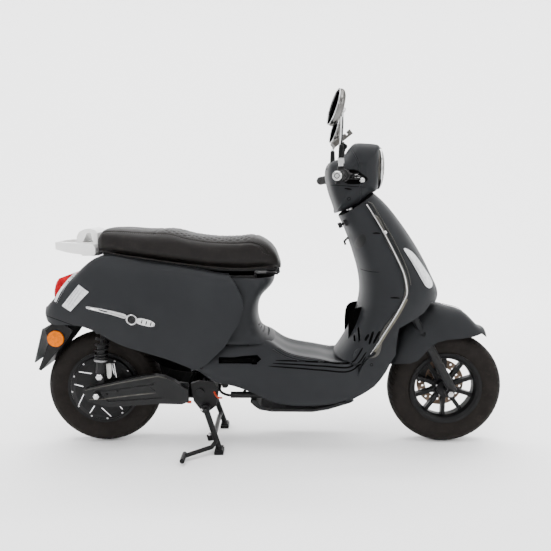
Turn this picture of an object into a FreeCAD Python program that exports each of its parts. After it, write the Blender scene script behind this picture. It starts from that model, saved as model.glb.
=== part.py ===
import FreeCAD, Part
import math
import os

# Step-through electric moped scooter, standing on its centre stand.
# Frame: +X towards the front, +Y towards the rider's left, +Z up, millimetres.
# The origin is on the ground, midway along the scooter's length.

# ---------------------------------------------------------------- driving dimensions
WHEELBASE = 1304.0
FRONT_AXLE_X = 664.0
REAR_AXLE_X = FRONT_AXLE_X - WHEELBASE
TYRE_R = 217.0
TYRE_HALF_WIDTH = 45.0
BEAD_R = 127.0
FRONT_AXLE_Z = TYRE_R
REAR_LIFT = 4.0
REAR_AXLE_Z = TYRE_R + REAR_LIFT

RAKE = math.radians(28.5)
FORK_HALF_SPAN = 78.0
LEG_AHEAD = 14.0

PIVOT_X, PIVOT_Z = -265.0, 224.0
STAND_X, STAND_Z = -245.0, 168.0
SHOCK_Y = 118.0
SHOCK_LOW = (-628.0, 292.0)
SHOCK_TOP = (-602.0, 560.0)

SEAT_HINGE = (24.0, 668.0)
BAR_IN = (262.0, 110.0, 1018.0)
BAR_OUT = (205.0, 345.0, 1008.0)
MIRROR_BASE = (238.0, 150.0, 1046.0)
HEADLIGHT_Z = 1046.0
HEADLIGHT_R = 76.0

WALL = 3.0
GAP = 0.8

parts = {}


# ---------------------------------------------------------------- small tools
def vec(x, y, z):
    return FreeCAD.Vector(x, y, z)


def keep(name, *shapes):
    """Stores a node as one solid or as a group of separate solids."""
    solids = [s for shape in shapes for s in shape.Solids]
    parts[name] = solids[0] if len(solids) == 1 else Part.makeCompound(solids)


def mirrored(shape):
    return shape.mirror(vec(0, 0, 0), vec(0, 1, 0))


def box(x0, x1, y0, y1, z0, z1):
    return Part.makeBox(x1 - x0, y1 - y0, z1 - z0, vec(x0, y0, z0))


def rod(start, end, r):
    """A round bar between two points."""
    a = vec(*start)
    b = vec(*end)
    return Part.makeCylinder(r, (b - a).Length, a, b - a)


def pipe(points, r):
    """Straight round bars joined by balls at the bends, fused to one solid."""
    shape = rod(points[0], points[1], r)
    for i in range(1, len(points) - 1):
        shape = shape.fuse(Part.makeSphere(r, vec(*points[i])))
        shape = shape.fuse(rod(points[i], points[i + 1], r))
    return shape.removeSplitter()


def disc(centre, r, y0, y1):
    """A round plate across the scooter at a side-view centre (x, z)."""
    return Part.makeCylinder(r, y1 - y0, vec(centre[0], y0, centre[1]), vec(0, 1, 0))


def spline(points, closed=False):
    """A smooth line through open points, or a smooth loop drawn inside closed ones."""
    curve = Part.BSplineCurve()
    if closed:
        curve.buildFromPoles(points, True, 3)
    else:
        curve.interpolate(points)
    return curve.toShape()


def side_plate(outline, y0, y1, smooth=False):
    """A side-view outline (x, z) drawn across the scooter from y0 to y1."""
    points = [vec(x, y0, z) for x, z in outline]
    wire = Part.Wire([spline(points, True)]) if smooth else Part.makePolygon(points + points[:1])
    return Part.Face(wire).extrude(vec(0, y1 - y0, 0))


def plan_plate(outline, z0, z1, smooth=False):
    """A plan outline (x, y) raised from z0 to z1."""
    points = [vec(x, y, z0) for x, y in outline]
    wire = Part.Wire([spline(points, True)]) if smooth else Part.makePolygon(points + points[:1])
    return Part.Face(wire).extrude(vec(0, 0, z1 - z0))


def offset_line(points, distance):
    """Moves each point of an open outline sideways, to the left of its run."""
    moved = []
    for i in range(len(points)):
        a = points[max(i - 1, 0)]
        b = points[min(i + 1, len(points) - 1)]
        length = math.hypot(b[0] - a[0], b[1] - a[1])
        nx = -(b[1] - a[1]) / length
        ny = (b[0] - a[0]) / length
        moved.append((points[i][0] + nx * distance, points[i][1] + ny * distance))
    return moved


def skin_wire(points, place, wall):
    """The closed section of a panel: an outer line, an inner line a wall away, two ends."""
    outer = [place(*p) for p in points]
    inner = [place(*p) for p in offset_line(points, wall)]
    return Part.Wire([
        spline(outer),
        Part.makeLine(outer[-1], inner[-1]),
        spline(inner[::-1]),
        Part.makeLine(inner[0], outer[0]),
    ])


def skin(sections, wall=WALL):
    """A panel lofted through sections, each one (outer points, place function)."""
    return Part.makeLoft([skin_wire(points, place, wall) for points, place in sections], True)


def at_x(x):
    return lambda y, z: vec(x, y, z)


def at_z(z):
    return lambda x, y: vec(x, y, z)


def arch(half_width, z_side, z_top, power=1.0, count=11):
    """An arch over the scooter's width as (y, z), from right to left over the top."""
    points = []
    for i in range(count):
        angle = math.pi * i / (count - 1)
        c = math.cos(angle)
        s = math.sin(angle)
        y = -half_width * math.copysign(abs(c) ** power, c)
        points.append((y, z_side + (z_top - z_side) * s ** power))
    return points


def bow(x_edge, x_mid, half_width, power=1.0, count=11):
    """A plan bow as (x, y) from the right edge to the left edge by the middle."""
    points = []
    for i in range(count):
        angle = math.pi * i / (count - 1)
        c = math.cos(angle)
        s = math.sin(angle)
        y = -half_width * math.copysign(abs(c) ** power, c)
        points.append((x_edge + (x_mid - x_edge) * s ** power, y))
    return points


# ---------------------------------------------------------------- steering line
def steer_point(up, ahead=0.0, y=0.0):
    """A point measured up the steering axis from the front axle, and ahead of that axis."""
    x = FRONT_AXLE_X - up * math.sin(RAKE) + ahead * math.cos(RAKE)
    z = FRONT_AXLE_Z + up * math.cos(RAKE) + ahead * math.sin(RAKE)
    return (x, y, z)


def on_steer(up0, up1, r, ahead=0.0, y=0.0):
    return rod(steer_point(up0, ahead, y), steer_point(up1, ahead, y), r)


HEAD_LOW, HEAD_HIGH = 430.0, 660.0


# ---------------------------------------------------------------- frame
def frame():
    head = on_steer(HEAD_LOW, HEAD_HIGH, 27.0)
    down = pipe([steer_point(500.0, -20.0), (330.0, 0.0, 470.0), (262.0, 0.0, 330.0)], 21.0)
    cross = rod((262.0, -118.0, 322.0), (262.0, 118.0, 322.0), 14.0)
    front = head.fuse(down).fuse(cross)
    front = front.cut(on_steer(HEAD_LOW - 1, HEAD_HIGH + 1, 21.0))
    keep("frame_front", front)

    rails = []
    for side in (-1, 1):
        y = 118.0 * side
        rails.append(pipe([(247.0, y, 318.0), (225.0, y, 222.0), (-150.0, y, 222.0)], 12.0))
    floor = rails[0].fuse(rails[1])
    for x in (-20.0, 110.0, 225.0):
        floor = floor.fuse(rod((x, -118.0, 222.0), (x, 118.0, 222.0), 9.0))
    keep("frame_floor", floor.cut(rod((262.0, -130.0, 322.0), (262.0, 130.0, 322.0), 14.1)))

    rear = None
    for side in (-1, 1):
        y = 96.0 * side
        run = pipe([(-172.0, y, 245.0), (-205.0, y, 440.0), (-560.0, y, 600.0), (-640.0, y, 602.0)], 12.0)
        rear = run if rear is None else rear.fuse(run)
    for x, z in ((-172.0, 250.0), (-205.0, 420.0), (-640.0, 602.0)):
        rear = rear.fuse(rod((x, -96.0, z), (x, 96.0, z), 10.0))
    for side in (-1, 1):
        ear = rod((SHOCK_TOP[0], 92.0 * side, SHOCK_TOP[1]), (SHOCK_TOP[0], 107.0 * side, SHOCK_TOP[1]), 14.0)
        hang = rod((SHOCK_TOP[0], 96.0 * side, SHOCK_TOP[1]), (SHOCK_TOP[0], 96.0 * side, 600.0), 9.0)
        pin = rod((SHOCK_TOP[0], 107.0 * side, SHOCK_TOP[1]), (SHOCK_TOP[0], 132.0 * side, SHOCK_TOP[1]), 5.0)
        rear = rear.fuse(ear).fuse(hang).fuse(pin)
    keep("frame_rear", rear)


def stand_bracket():
    """The cast carrier that holds the swingarm pivot and the stand pivot."""
    outline = [(-300, 258), (-268, 268), (-214, 262), (-196, 232), (-206, 172), (-232, 152), (-262, 152), (-290, 190)]
    shape = None
    for side in (-1, 1):
        cheek = side_plate(outline, min(86 * side, 98 * side), max(86 * side, 98 * side))
        shape = cheek if shape is None else shape.fuse(cheek)
    shape = shape.fuse(box(-236, -200, -98, 98, 214, 238))
    shape = shape.cut(rod((-172.0, -120, 248.0), (-172.0, 120, 248.0), 16.0))
    for side in (-1, 1):
        y = 96.0 * side
        shape = shape.cut(rod((-168.0, y, 221.0), (-209.0, y, 460.0), 12.3))
    shape = shape.cut(disc((PIVOT_X, PIVOT_Z), 9.05, -120, 120))
    shape = shape.cut(disc((STAND_X, STAND_Z), 7.05, -120, 120))
    keep("stand_bracket", shape)


def pivot_bolts():
    """The swingarm bolt, the stand bolt, the seat's hinge pin and the hinge ears that carry it."""
    swing = disc((PIVOT_X, PIVOT_Z), 9.0, -100, 100)
    stand = disc((STAND_X, STAND_Z), 7.0, -140, 140)
    for side in (-1, 1):
        swing = swing.fuse(disc((PIVOT_X, PIVOT_Z), 15.0, min(98.5 * side, 105 * side), max(98.5 * side, 105 * side)))
    hinge_pin = disc(SEAT_HINGE, 4.0, -40, 40)
    plate = box(-59, 14, -40, 40, 657, 661)
    for side in (-1, 1):
        y0, y1 = min(31 * side, 40 * side), max(31 * side, 40 * side)
        plate = plate.fuse(disc(SEAT_HINGE, 7.0, y0, y1)).fuse(box(-20, SEAT_HINGE[0], y0, y1, 657, 665))
    keep("pivot_bolts", swing, stand, plate.fuse(hinge_pin))


# ---------------------------------------------------------------- bodywork
# station x, top z, half-width at the top, widest half-width, its z, low z, half-width at the low edge
COWL = [
    (-836, 541, 52, 66, 518, 494, 58),
    (-806, 566, 78, 98, 522, 480, 88),
    (-750, 622, 98, 124, 540, 482, 112),
    (-690, 680, 112, 142, 558, 482, 130),
    (-630, 724, 126, 155, 572, 464, 143),
    (-560, 738, 134, 164, 580, 428, 152),
    (-460, 722, 140, 171, 572, 394, 158),
    (-340, 703, 143, 174, 552, 356, 161),
    (-240, 684, 142, 172, 530, 310, 158),
    (-150, 670, 138, 164, 520, 268, 150),
    (-90, 668, 134, 154, 520, 250, 146),
]
COWL_LIP = 26.0
CREASE = [(-168, 690), (-128, 640), (-104, 590), (-101, 545), (-122, 488), (-168, 412), (-236, 346), (-318, 306),
          (-332, 200), (40, 200), (40, 690)]


def cowl_points(row):
    x, z_top, y_top, wide, z_wide, z_low, y_low = row
    lip = COWL_LIP if x > -800 else 18.0
    span = z_top - z_wide
    return [
        (-(y_top - lip), z_top + 1.5),
        (-(y_top - 8), z_top - 1.5),
        (-(y_top + 0.16 * (wide - y_top)), z_top - 0.10 * span),
        (-(y_top + 0.72 * (wide - y_top)), z_top - 0.48 * span),
        (-wide, z_wide),
        (-(y_low + 0.62 * (wide - y_low)), z_low + 0.45 * (z_wide - z_low)),
        (-y_low, z_low),
    ]


def cowls():
    """The two rear side covers, each a thin lofted shell that ends at a curved front crease."""
    shell = skin([(cowl_points(row), at_x(row[0])) for row in COWL], WALL)
    crease = side_plate(CREASE, -260, 0)
    shell = shell.cut(crease).cut(tail_lens(0.6))
    keep("cowl_right", shell)
    keep("cowl_left", mirrored(shell))


def tail_cover():
    """The strip between the cowls, over the tail and down its sloping back."""
    sections = []
    for row in COWL[:5]:
        x, z_top, y_top = row[:3]
        lip = COWL_LIP if x > -800 else 18.0
        half = y_top - lip - GAP
        points = [(half * (i / 3.0 - 1.0), z_top + 1.5 + 3.0 * (1 - (i / 3.0 - 1.0) ** 2)) for i in range(7)]
        sections.append((points[::-1], at_x(x)))
    strip = skin(sections, WALL)
    lamp_well = box(-796, -722, -50, 50, 500, 760)
    strip = strip.cut(lamp_well).cut(tail_lens(0.6))
    under = box(-834, -700, -44, 44, 486, 490)
    strip = strip.cut(parts["cowl_right"]).cut(parts["cowl_left"])
    keep("tail_cover", max(strip.Solids, key=lambda s: s.Volume), under)


# height z, front x, half-width, back x
COLUMN = [
    (419, 14, 147, -204),
    (430, -2, 146, -200),
    (445, -26, 141, -188),
    (476, -45, 136, -168),
    (523, -51, 132, -142),
    (554, -47, 130, -132),
    (585, -32, 129, -132),
    (612, -6, 129, -144),
    (640, 10, 130, -160),
    (656, 15, 130, -172),
]


def column_points(x_front, half_width, x_back):
    """A horseshoe in plan: straight cheeks from the back, round at the front."""
    corner = min(92.0, x_front - x_back - 20.0)
    points = [(x_back, -half_width), (0.5 * (x_back + x_front - corner), -half_width + 1.0)]
    for i in range(9):
        angle = math.radians(-90 + 180 * i / 8.0)
        c = abs(math.cos(angle)) ** 0.8
        s = math.copysign(abs(math.sin(angle)) ** 0.8, math.sin(angle))
        points.append((x_front - corner + corner * c, (half_width - 1.0) * s))
    points.append((0.5 * (x_back + x_front - corner), half_width - 1.0))
    points.append((x_back, half_width))
    return points


def column_cover():
    """The shell under the front of the seat, round in plan and waisted in side view."""
    sections = [(column_points(x, w, back), at_z(z)) for z, x, w, back in COLUMN]
    shell = skin(sections, WALL)
    for i in range(4):
        x = -58 + 6 * i
        z = 468 - 12 * i
        shell = shell.cut(box(-90, 40, -62, 62, z, z + 4))
    keep("column_cover", shell)


FLOOR = [
    (-290, 342, 150, 330, 316),
    (-230, 372, 152, 330, 294),
    (-150, 415, 153, 320, 266),
    (-70, 424, 154, 300, 238),
    (-10, 421, 156, 290, 210),
    (40, 388, 158, 280, 196),
    (110, 364, 160, 272, 192),
    (190, 350, 160, 270, 194),
    (262, 345, 160, 272, 210),
    (312, 346, 160, 276, 226),
]


def floor_points(z_top, wide, z_wide, z_low):
    flat = wide - 26.0
    right = [
        (-(wide - 10), z_low),
        (-(wide - 2), 0.5 * (z_low + z_wide)),
        (-wide, z_wide),
        (-(wide - 5), z_wide + 0.62 * (z_top - z_wide)),
        (-flat, z_top - 3.0),
        (-0.55 * flat, z_top),
    ]
    return right + [(0.0, z_top + 0.5)] + [(-y, z) for y, z in right[::-1]]


def floorboard():
    """The foot floor and its side skirts, with three long grooves along each side."""
    sections = [(floor_points(*row[1:])[::-1], at_x(row[0])) for row in FLOOR]
    shell = skin(sections, WALL)
    shell = shell.cut(side_plate([(356, 385), (331, 330), (316, 282), (300, 236), (276, 196), (270, 150), (420, 150),
                                  (420, 385)], -260, 260))
    for name in ("front_apron", "legshield_inner", "column_cover", "cowl_right", "cowl_left"):
        shell = shell.cut(parts[name])
    inside_column = plan_plate([(-300, -128), (-60, -128), (-60, 128), (-300, 128)], 330, 470)
    shell = shell.cut(inside_column)
    for side in (-1, 1):
        for k in range(3):
            y = (118.0 + 10.0 * k) * side
            shell = shell.cut(box(-6 + 4 * k, 262, y - 2.0, y + 2.0, 328, 420).common(
                side_plate([(-20, 400), (-20, 372 - k), (110, 358 - k), (270, 340 - k), (270, 400)], -200, 200)))
    for side in (-1, 1):
        slot = side_plate([(-197, 363), (-109, 377), (-51, 381), (-36, 365), (-56, 349), (-126, 352)], -15, 15)
        slot.translate(vec(0, 156 * side, 0))
        shell = shell.cut(slot)
    shell = shell.cut(parts["frame_front"])
    for side in (-1, 1):
        y = 150.0 * side
        shell = shell.cut(box(-190, -52, y - 9, y + 9, 350, 373)).cut(Part.makeCylinder(10, 30, vec(-62, y, 346)))
    keep("floorboard", max(shell.Solids, key=lambda s: s.Volume))


def belly_pan():
    outline = [(-78, 200), (-62, 184), (-44, 172), (0, 164), (150, 163), (205, 172), (288, 198),
               (300, 206), (288, 208), (200, 182), (150, 173), (0, 174), (-38, 184), (-54, 208), (-76, 209)]
    pan = side_plate(outline, -138, 138)
    keep("belly_pan", pan)


# z, x of the edge, x of the nose, x of the rider side, half-width
SHIELD = [
    (330, 318, 500, 232, 161),
    (374, 344, 520, 252, 161),
    (447, 386, 556, 294, 167),
    (536, 434, 600, 326, 179),
    (594, 462, 617, 333, 186),
    (644, 465, 597, 329, 187),
    (728, 435, 553, 307, 178),
    (812, 393, 500, 277, 158),
    (880, 355, 450, 244, 132),
    (940, 314, 394, 205, 104),
    (985, 280, 345, 175, 84),
]
SHIELD_TOP = (248.0, 872.0)
SHIELD_TOP_SLOPE = 34.5
WELL_R = 178.0
ARCH_RIM = [(700, 560), (632, 560), (606, 549), (570, 571), (513, 486), (468, 409), (432, 353), (416, 318), (394, 286),
            (372, 262), (330, 236), (290, 214), (250, 205), (250, 100), (700, 100)]


def above_shield():
    """Everything above the slanted top of the shield."""
    slope = math.tan(math.radians(SHIELD_TOP_SLOPE))
    x_low, z_low = SHIELD_TOP
    corners = [(100.0, z_low + (100.0 - x_low) * slope), (560.0, z_low + (560.0 - x_low) * slope), (560.0, 1400.0),
               (100.0, 1400.0)]
    return side_plate(corners, -260, 260)


def wheel_well():
    """The room that the front wheel and mudguard sweep when they steer and the fork compresses."""
    well = on_steer(60.0, 335.0, WELL_R)
    for travel in (0.0, 46.0):
        well = well.fuse(Part.makeSphere(TYRE_R + 9.0, vec(*steer_point(travel))))
    return well.fuse(on_steer(335.0, 425.0, 96.0))


def apron():
    """The outer front shell, from the steering neck to the wheel arch."""
    sections = []
    for z, x_edge, x_nose, x_rear, half in SHIELD:
        sections.append((bow(x_edge + GAP, x_nose, half, 0.92), at_z(z)))
    low = []
    for z, x_edge, x_nose, half in ((196, 262, 420, 146), (236, 286, 448, 155), (282, 302, 474, 160)):
        low.append((bow(x_edge + GAP, x_nose, half, 0.92), at_z(z)))
    shell = skin(low + sections, WALL)
    shell = shell.cut(side_plate(ARCH_RIM, -260, 260))
    shell = shell.cut(wheel_well())
    shell = shell.cut(above_shield())
    shell = shell.cut(on_steer(HEAD_HIGH - 60, HEAD_HIGH + 120, 52.0))
    for side in (-1, 1):
        shell = shell.cut(signal_outline(side, 0.0))
    keep("front_apron", max(shell.Solids, key=lambda s: s.Volume))


def signal_outline(side, inset):
    """The side-view shape of a front turn signal, drawn across one half of the apron."""
    outline = [(446, 776), (484, 762), (512, 733), (540, 694), (566, 660), (583, 628), (548, 614), (516, 668),
               (478, 734)]
    plate = side_plate(outline, min(20 * side, 240 * side), max(20 * side, 240 * side), smooth=True)
    if inset:
        centre = vec(515, 0, 700)
        shrink = FreeCAD.Matrix()
        shrink.move(-centre)
        shrink.scale(1 - inset, 1, 1 - inset)
        shrink.move(centre)
        plate = plate.transformGeometry(shrink)
    return plate


def legshield_inner():
    """The rider's side of the front shield, bulging back over the head tube."""
    sections = []
    for z, x_edge, x_nose, x_rear, half in SHIELD:
        sections.append((bow(x_edge - GAP, x_rear, half, 0.95)[::-1], at_z(z)))
    shell = skin(sections, WALL)
    shell = shell.cut(above_shield())
    shell = shell.cut(wheel_well())
    shell = shell.cut(side_plate([(150, 100), (150, 352), (262, 352), (330, 352), (348, 386), (420, 386), (420, 100)],
                                 -260, 260))
    shell = shell.cut(on_steer(HEAD_HIGH - 60, HEAD_HIGH + 120, 52.0))
    for side in (-1, 1):
        for i in range(3):
            slot = box(286 + 14 * i, 292 + 14 * i, min(86 * side, 130 * side), max(86 * side, 130 * side), 420, 470)
            shell = shell.cut(slot)
    shell = shell.cut(box(260, 330, -10, 10, 758, 838))
    shell = shell.cut(rod((300, -62, 864.6), (240, -62, 836.9), 12.6))
    shell = shell.cut(parts["front_apron"])
    keep("legshield_inner", max(shell.Solids, key=lambda s: s.Volume))


def edge_trims():
    """The bright strip that covers each edge where the two halves of the shield meet."""
    rows = [row for row in SHIELD if 374 <= row[0] <= 900]
    strips = []
    for side in (-1, 1):
        wires = []
        for z, x_edge, x_nose, x_rear, half in rows:
            y0 = (half + 0.6) * side
            y1 = (half + 4.6) * side
            corners = [vec(x_edge - 5, y0, z), vec(x_edge + 7, y0, z), vec(x_edge + 7, y1, z), vec(x_edge - 5, y1, z)]
            wires.append(Part.makePolygon(corners + corners[:1]))
        strips.append(Part.makeLoft(wires, True))
    strips = [strip.cut(parts["front_apron"]).cut(parts["legshield_inner"]) for strip in strips]
    keep("edge_trims", *[max(strip.Solids, key=lambda s: s.Volume) for strip in strips])


# ---------------------------------------------------------------- lamps
def turn_signals():
    lenses = []
    for side in (-1, 1):
        sections = [(bow(x_edge + 2, x_nose + 2.0, half + 2.0, 0.92), at_z(z))
                    for z, x_edge, x_nose, x_rear, half in SHIELD if 500 < z < 900]
        lens = skin(sections, 7.0).common(signal_outline(side, 0.03))
        lenses.append(max(lens.Solids, key=lambda s: s.Volume))
    for side in (-1, 1):
        outline = [(-684, 634), (-645, 610), (-717, 538), (-751, 556)]
        y0, y1 = 96, 150
        lens = side_plate(outline, min(y0 * side, y1 * side), max(y0 * side, y1 * side))
        rows = [(cowl_points(row), at_x(row[0])) for row in COWL[:7]]
        proud = Part.makeLoft([skin_wire(offset_line(points, -4.5), place, 4.2) for points, place in rows], True)
        if side > 0:
            proud = mirrored(proud)
        lens = proud.common(lens)
        lenses.append(max(lens.Solids, key=lambda s: s.Volume))
    keep("turn_signals", *lenses)


def tail_lens(grow=0.0):
    """A domed red lens on the sloping back."""
    outline = [(-710, 668), (-741, 660), (-786, 644), (-799, 626), (-808, 588), (-813, 567), (-794, 573), (-720, 656)]
    lens = side_plate(outline, -60 - grow, 60 + grow)
    return lens.common(Part.makeSphere(112 + grow, vec(-705, 0, 585)))


def tail_light():
    keep("tail_light", tail_lens())


def reflectors():
    amber = []
    for side in (-1, 1):
        y = 70.2 * side
        amber.append(rod((-800, y, 422), (-800, y + 8 * side, 422), 30))
    keep("side_reflectors", *amber)


# ---------------------------------------------------------------- rear fittings
def rear_mudguard():
    """A channel-shaped guard hanging behind the rear tyre, with a blank plate carrier."""
    flange = [(-782, 484), (-812, 478), (-838, 452), (-828, 410), (-852, 350), (-872, 303), (-862, 298), (-834, 330),
              (-806, 364), (-778, 394), (-752, 428), (-738, 452)]
    shape = side_plate(flange, -70, 70)
    core = [(-700, 474), (-795, 474), (-800, 452), (-818, 410), (-842, 350), (-866, 290), (-700, 290)]
    shape = shape.cut(side_plate(core, -66, 66))
    keep("rear_mudguard", shape)
    plate = side_plate([(-840, 462), (-844, 461), (-879, 335), (-875, 334)], -85, 85)
    keep("number_plate", plate.cut(shape))


def rack():
    """The rear carrier: a flat loop with a raised grab bar behind the seat."""
    profile = [(-808, 764), (-802, 777), (-766, 780), (-690, 777), (-640, 772), (-634, 760), (-634, 740), (-640, 731),
               (-720, 741), (-786, 753), (-804, 759)]
    slab = side_plate(profile, -92, 92)
    plan = [(-634, -92), (-740, -88), (-786, -66), (-809, 0), (-786, 66), (-740, 88), (-634, 92)]
    slab = slab.common(plan_plate(plan, 700, 800))
    hole = plan_plate([(-712, -60), (-760, -58), (-786, -30), (-786, 30), (-760, 58), (-712, 60)], 690, 800)
    slab = slab.cut(hole)
    hump = side_plate([(-712, 770), (-710, 800), (-701, 816), (-684, 825), (-664, 828), (-645, 823), (-635, 812),
                       (-635, 770)], -56, 56)
    grip = side_plate([(-690, 778), (-672, 812), (-658, 812), (-650, 778)], -80, 80)
    mount = box(-700, -640, -40, 40, 727, 745)
    keep("rack", slab.fuse(hump).cut(grip).fuse(mount))


def electrics():
    """The battery under the floor and, behind it, the finned motor controller."""
    fins = box(-145, -70, -70, 70, 268, 300)
    for i in range(7):
        fins = fins.cut(box(-150, -60, -64 + 18 * i, -56 + 18 * i, 290, 310))
    keep("battery", box(-10, 212, -100, 100, 234, 336), fins)


def storage_bucket():
    """The open box under the seat."""
    outer = box(-520, -60, -118, 118, 622, 664)
    outer = outer.fuse(box(-400, -70, -80, 80, 470, 640).common(
        side_plate([(-400, 640), (-340, 520), (-200, 478), (-80, 500), (-76, 640)], -90, 90)))
    inner = box(-516, -64, -114, 114, 626, 700)
    inner = inner.fuse(box(-396, -74, -76, 76, 474, 700).common(
        side_plate([(-394, 700), (-394, 640), (-336, 526), (-200, 484), (-86, 505), (-81, 700)], -90, 90)))
    keep("storage_bucket", outer.cut(inner))


# ---------------------------------------------------------------- seat
SEAT = [
    (-624, 740, 806, 92),
    (-600, 744, 828, 118),
    (-535, 732, 830, 134),
    (-464, 723, 825, 142),
    (-364, 708, 823, 143),
    (-288, 698, 805, 141),
    (-200, 688, 795, 138),
    (-120, 683, 796, 132),
    (-60, 684, 801, 124),
    (-12, 686, 779, 110),
    (18, 684, 745, 88),
    (34, 681, 702, 58),
]


def seat():
    wires = []
    for x, z_low, z_top, half in SEAT:
        points = []
        for i in range(16):
            angle = 2 * math.pi * i / 16
            c = math.cos(angle)
            s = math.sin(angle)
            y = half * math.copysign(abs(c) ** 0.62, c)
            z = 0.5 * (z_top + z_low) + 0.52 * (z_top - z_low) * math.copysign(abs(s) ** 0.72, s)
            points.append(vec(x, 1.02 * y, z))
        wires.append(Part.Wire([spline(points, True)]))
    keep("seat_cushion", Part.makeLoft(wires, True).cut(box(-660, 60, -200, 200, 600, 690).common(
        side_plate([(-660, 600), (-660, 748), (-560, 740), (-330, 706), (-180, 690), (60, 686), (60, 600)], -200, 200))))
    base_top = [(-612, 743), (-560, 738), (-330, 704), (-180, 688), (20, 684)]
    base = side_plate(base_top + [(24, 676.5), (-180, 680), (-330, 695), (-560, 729), (-612, 733)], -108, 108)
    plan = [(-612, -70), (-560, -106), (-100, -106), (24, -50), (24, 50), (-100, 106), (-560, 106), (-612, 70)]
    base = base.common(plan_plate(plan, 600, 800))
    lug = box(18, 30, -30, 30, 668, 680).fuse(disc(SEAT_HINGE, 6.5, -30, 30))
    base = base.fuse(lug).cut(disc(SEAT_HINGE, 4.06, -60, 60))
    latch = rod((-540, 0, 738), (-540, 0, 706), 5)
    base = base.fuse(latch).cut(parts["seat_cushion"])
    keep("seat_base", max(base.Solids, key=lambda s: s.Volume))


# ---------------------------------------------------------------- steering
HEADSET = [(226, 879), (238, 884), (215, 938), (202, 982), (193, 1032), (203, 1068), (232, 1076), (262, 1082),
           (284, 1120), (302, 1138), (330, 1136), (372, 1134), (392, 1128), (388, 1110), (388, 1050), (388, 990),
           (386, 964), (372, 957), (354, 955), (338, 933), (316, 913), (280, 896)]


def headset_wire(y, scale, lift, inset):
    """One side-view slice of the handlebar cover, drawn in towards the bar."""
    cx, cz = 292.0, 1022.0
    points = []
    for x, z in HEADSET:
        s = scale * (1 - inset)
        points.append(vec(cx + (x - cx) * s, y, cz + lift + (z - cz) * s))
    return Part.Wire([spline(points, True)])


def headset_form(inset):
    rows = [(-118, 0.40, -6), (-108, 0.66, -4), (-88, 0.86, 0), (-50, 0.965, 0), (0, 1.0, 0),
            (50, 0.965, 0), (88, 0.86, 0), (108, 0.66, -4), (118, 0.40, -6)]
    if inset:
        rows = [(y * 0.965, s, lift) for y, s, lift in rows]
    return Part.makeLoft([headset_wire(y, s, lift, inset) for y, s, lift in rows], True)


def headset():
    """The handlebar cover in a rear and a front half, with the headlamp in the front."""
    shell = headset_form(0.0).cut(headset_form(0.045))
    shell = shell.cut(rod((298, 0, 884), (278, 0, 1000), 26.0))
    shell = shell.cut(rod((268, 62, 1108), (276, 48, 1030), 8.6))
    lamp_hole = Part.makeCylinder(HEADLIGHT_R + 1.0, 80, vec(352, 0, HEADLIGHT_Z), vec(1, 0, 0))
    shell = shell.cut(lamp_hole)
    for side in (-1, 1):
        a = vec(*[BAR_IN[0], BAR_IN[1] * side, BAR_IN[2]])
        b = vec(*[BAR_OUT[0], BAR_OUT[1] * side, BAR_OUT[2]])
        shell = shell.cut(Part.makeCylinder(21.0, 200, a - (b - a) * 0.3, b - a))
    split = side_plate([(250, 1180), (302, 1060), (322, 860), (600, 860), (600, 1180)], -200, 200)
    gap = side_plate([(249.5, 1180), (301.5, 1060), (321.5, 860), (322.5, 860), (302.5, 1060), (250.5, 1180)], -200, 200)
    rear = shell.cut(split).cut(gap).cut(box(196, 262, -60, 60, 1040, 1100))
    front = shell.common(split).cut(gap)
    keep("headset_rear", max(rear.Solids, key=lambda s: s.Volume))
    keep("headset_front", max(front.Solids, key=lambda s: s.Volume))

    dome = Part.makeSphere(118, vec(412 - 118, 0, HEADLIGHT_Z)).common(
        Part.makeCylinder(HEADLIGHT_R, 80, vec(356, 0, HEADLIGHT_Z), vec(1, 0, 0)))
    keep("headlight", dome)

    dash = side_plate([(203, 1046), (212, 1066), (258, 1080), (260, 1072), (222, 1058), (210, 1042)], -56, 56)
    keep("dash", dash)


def fork_and_stem():
    """The stem with its lower yoke, and the two fixed tubes of the fork clamped in it."""
    stem = on_steer(300.0, 760.0, 17.0)
    yoke = None
    for side in (-1, 1):
        y = FORK_HALF_SPAN * side
        arm = rod(steer_point(318.0, 4.0), steer_point(318.0, LEG_AHEAD, y + 10 * side), 16.0)
        yoke = arm if yoke is None else yoke.fuse(arm)
    stem = stem.fuse(yoke)
    legs = []
    for side in (-1, 1):
        y = FORK_HALF_SPAN * side
        stem = stem.cut(on_steer(280.0, 350.0, 13.05, LEG_AHEAD, y))
        legs.append(on_steer(112.0, 346.0, 13.0, LEG_AHEAD, y))
    keep("steering_stem", stem, *legs)


# station x, side z, top z, half-width
FENDER = [
    (440, 321, 345, 70),
    (470, 321, 415, 84),
    (515, 330, 492, 95),
    (560, 350, 530, 100),
    (610, 372, 546, 100),
    (660, 384, 536, 97),
    (710, 392, 521, 90),
    (750, 400, 489, 78),
    (785, 406, 458, 60),
    (812, 408, 426, 30),
]


def front_fender():
    """The front mudguard that turns with the fork."""
    sections = []
    for x, z_side, z_top, half in FENDER:
        sections.append((arch(half, z_side, z_top, 0.66)[::-1], at_x(x)))
    shell = skin(sections, 2.6)
    outline = [(820, 409), (783, 437), (745, 430), (695, 426), (643, 423), (608, 414), (580, 394), (560, 369),
               (540, 346), (512, 333), (430, 323), (430, 250), (860, 250), (860, 409)]
    shell = shell.cut(side_plate(outline, -120, 120))
    for side in (-1, 1):
        y = FORK_HALF_SPAN * side
        shell = shell.cut(on_steer(180.0, 256.0, 18.5, LEG_AHEAD, y))
        shell = shell.cut(on_steer(200.0, 480.0, 13.8, LEG_AHEAD, y))
        shell = shell.cut(rod(steer_point(318.0, 4.0), steer_point(318.0, LEG_AHEAD, y + 12 * side), 17.0))
    shell = shell.cut(on_steer(270.0, 480.0, 24.0))
    keep("front_fender", max(shell.Solids, key=lambda s: s.Volume))


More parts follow.
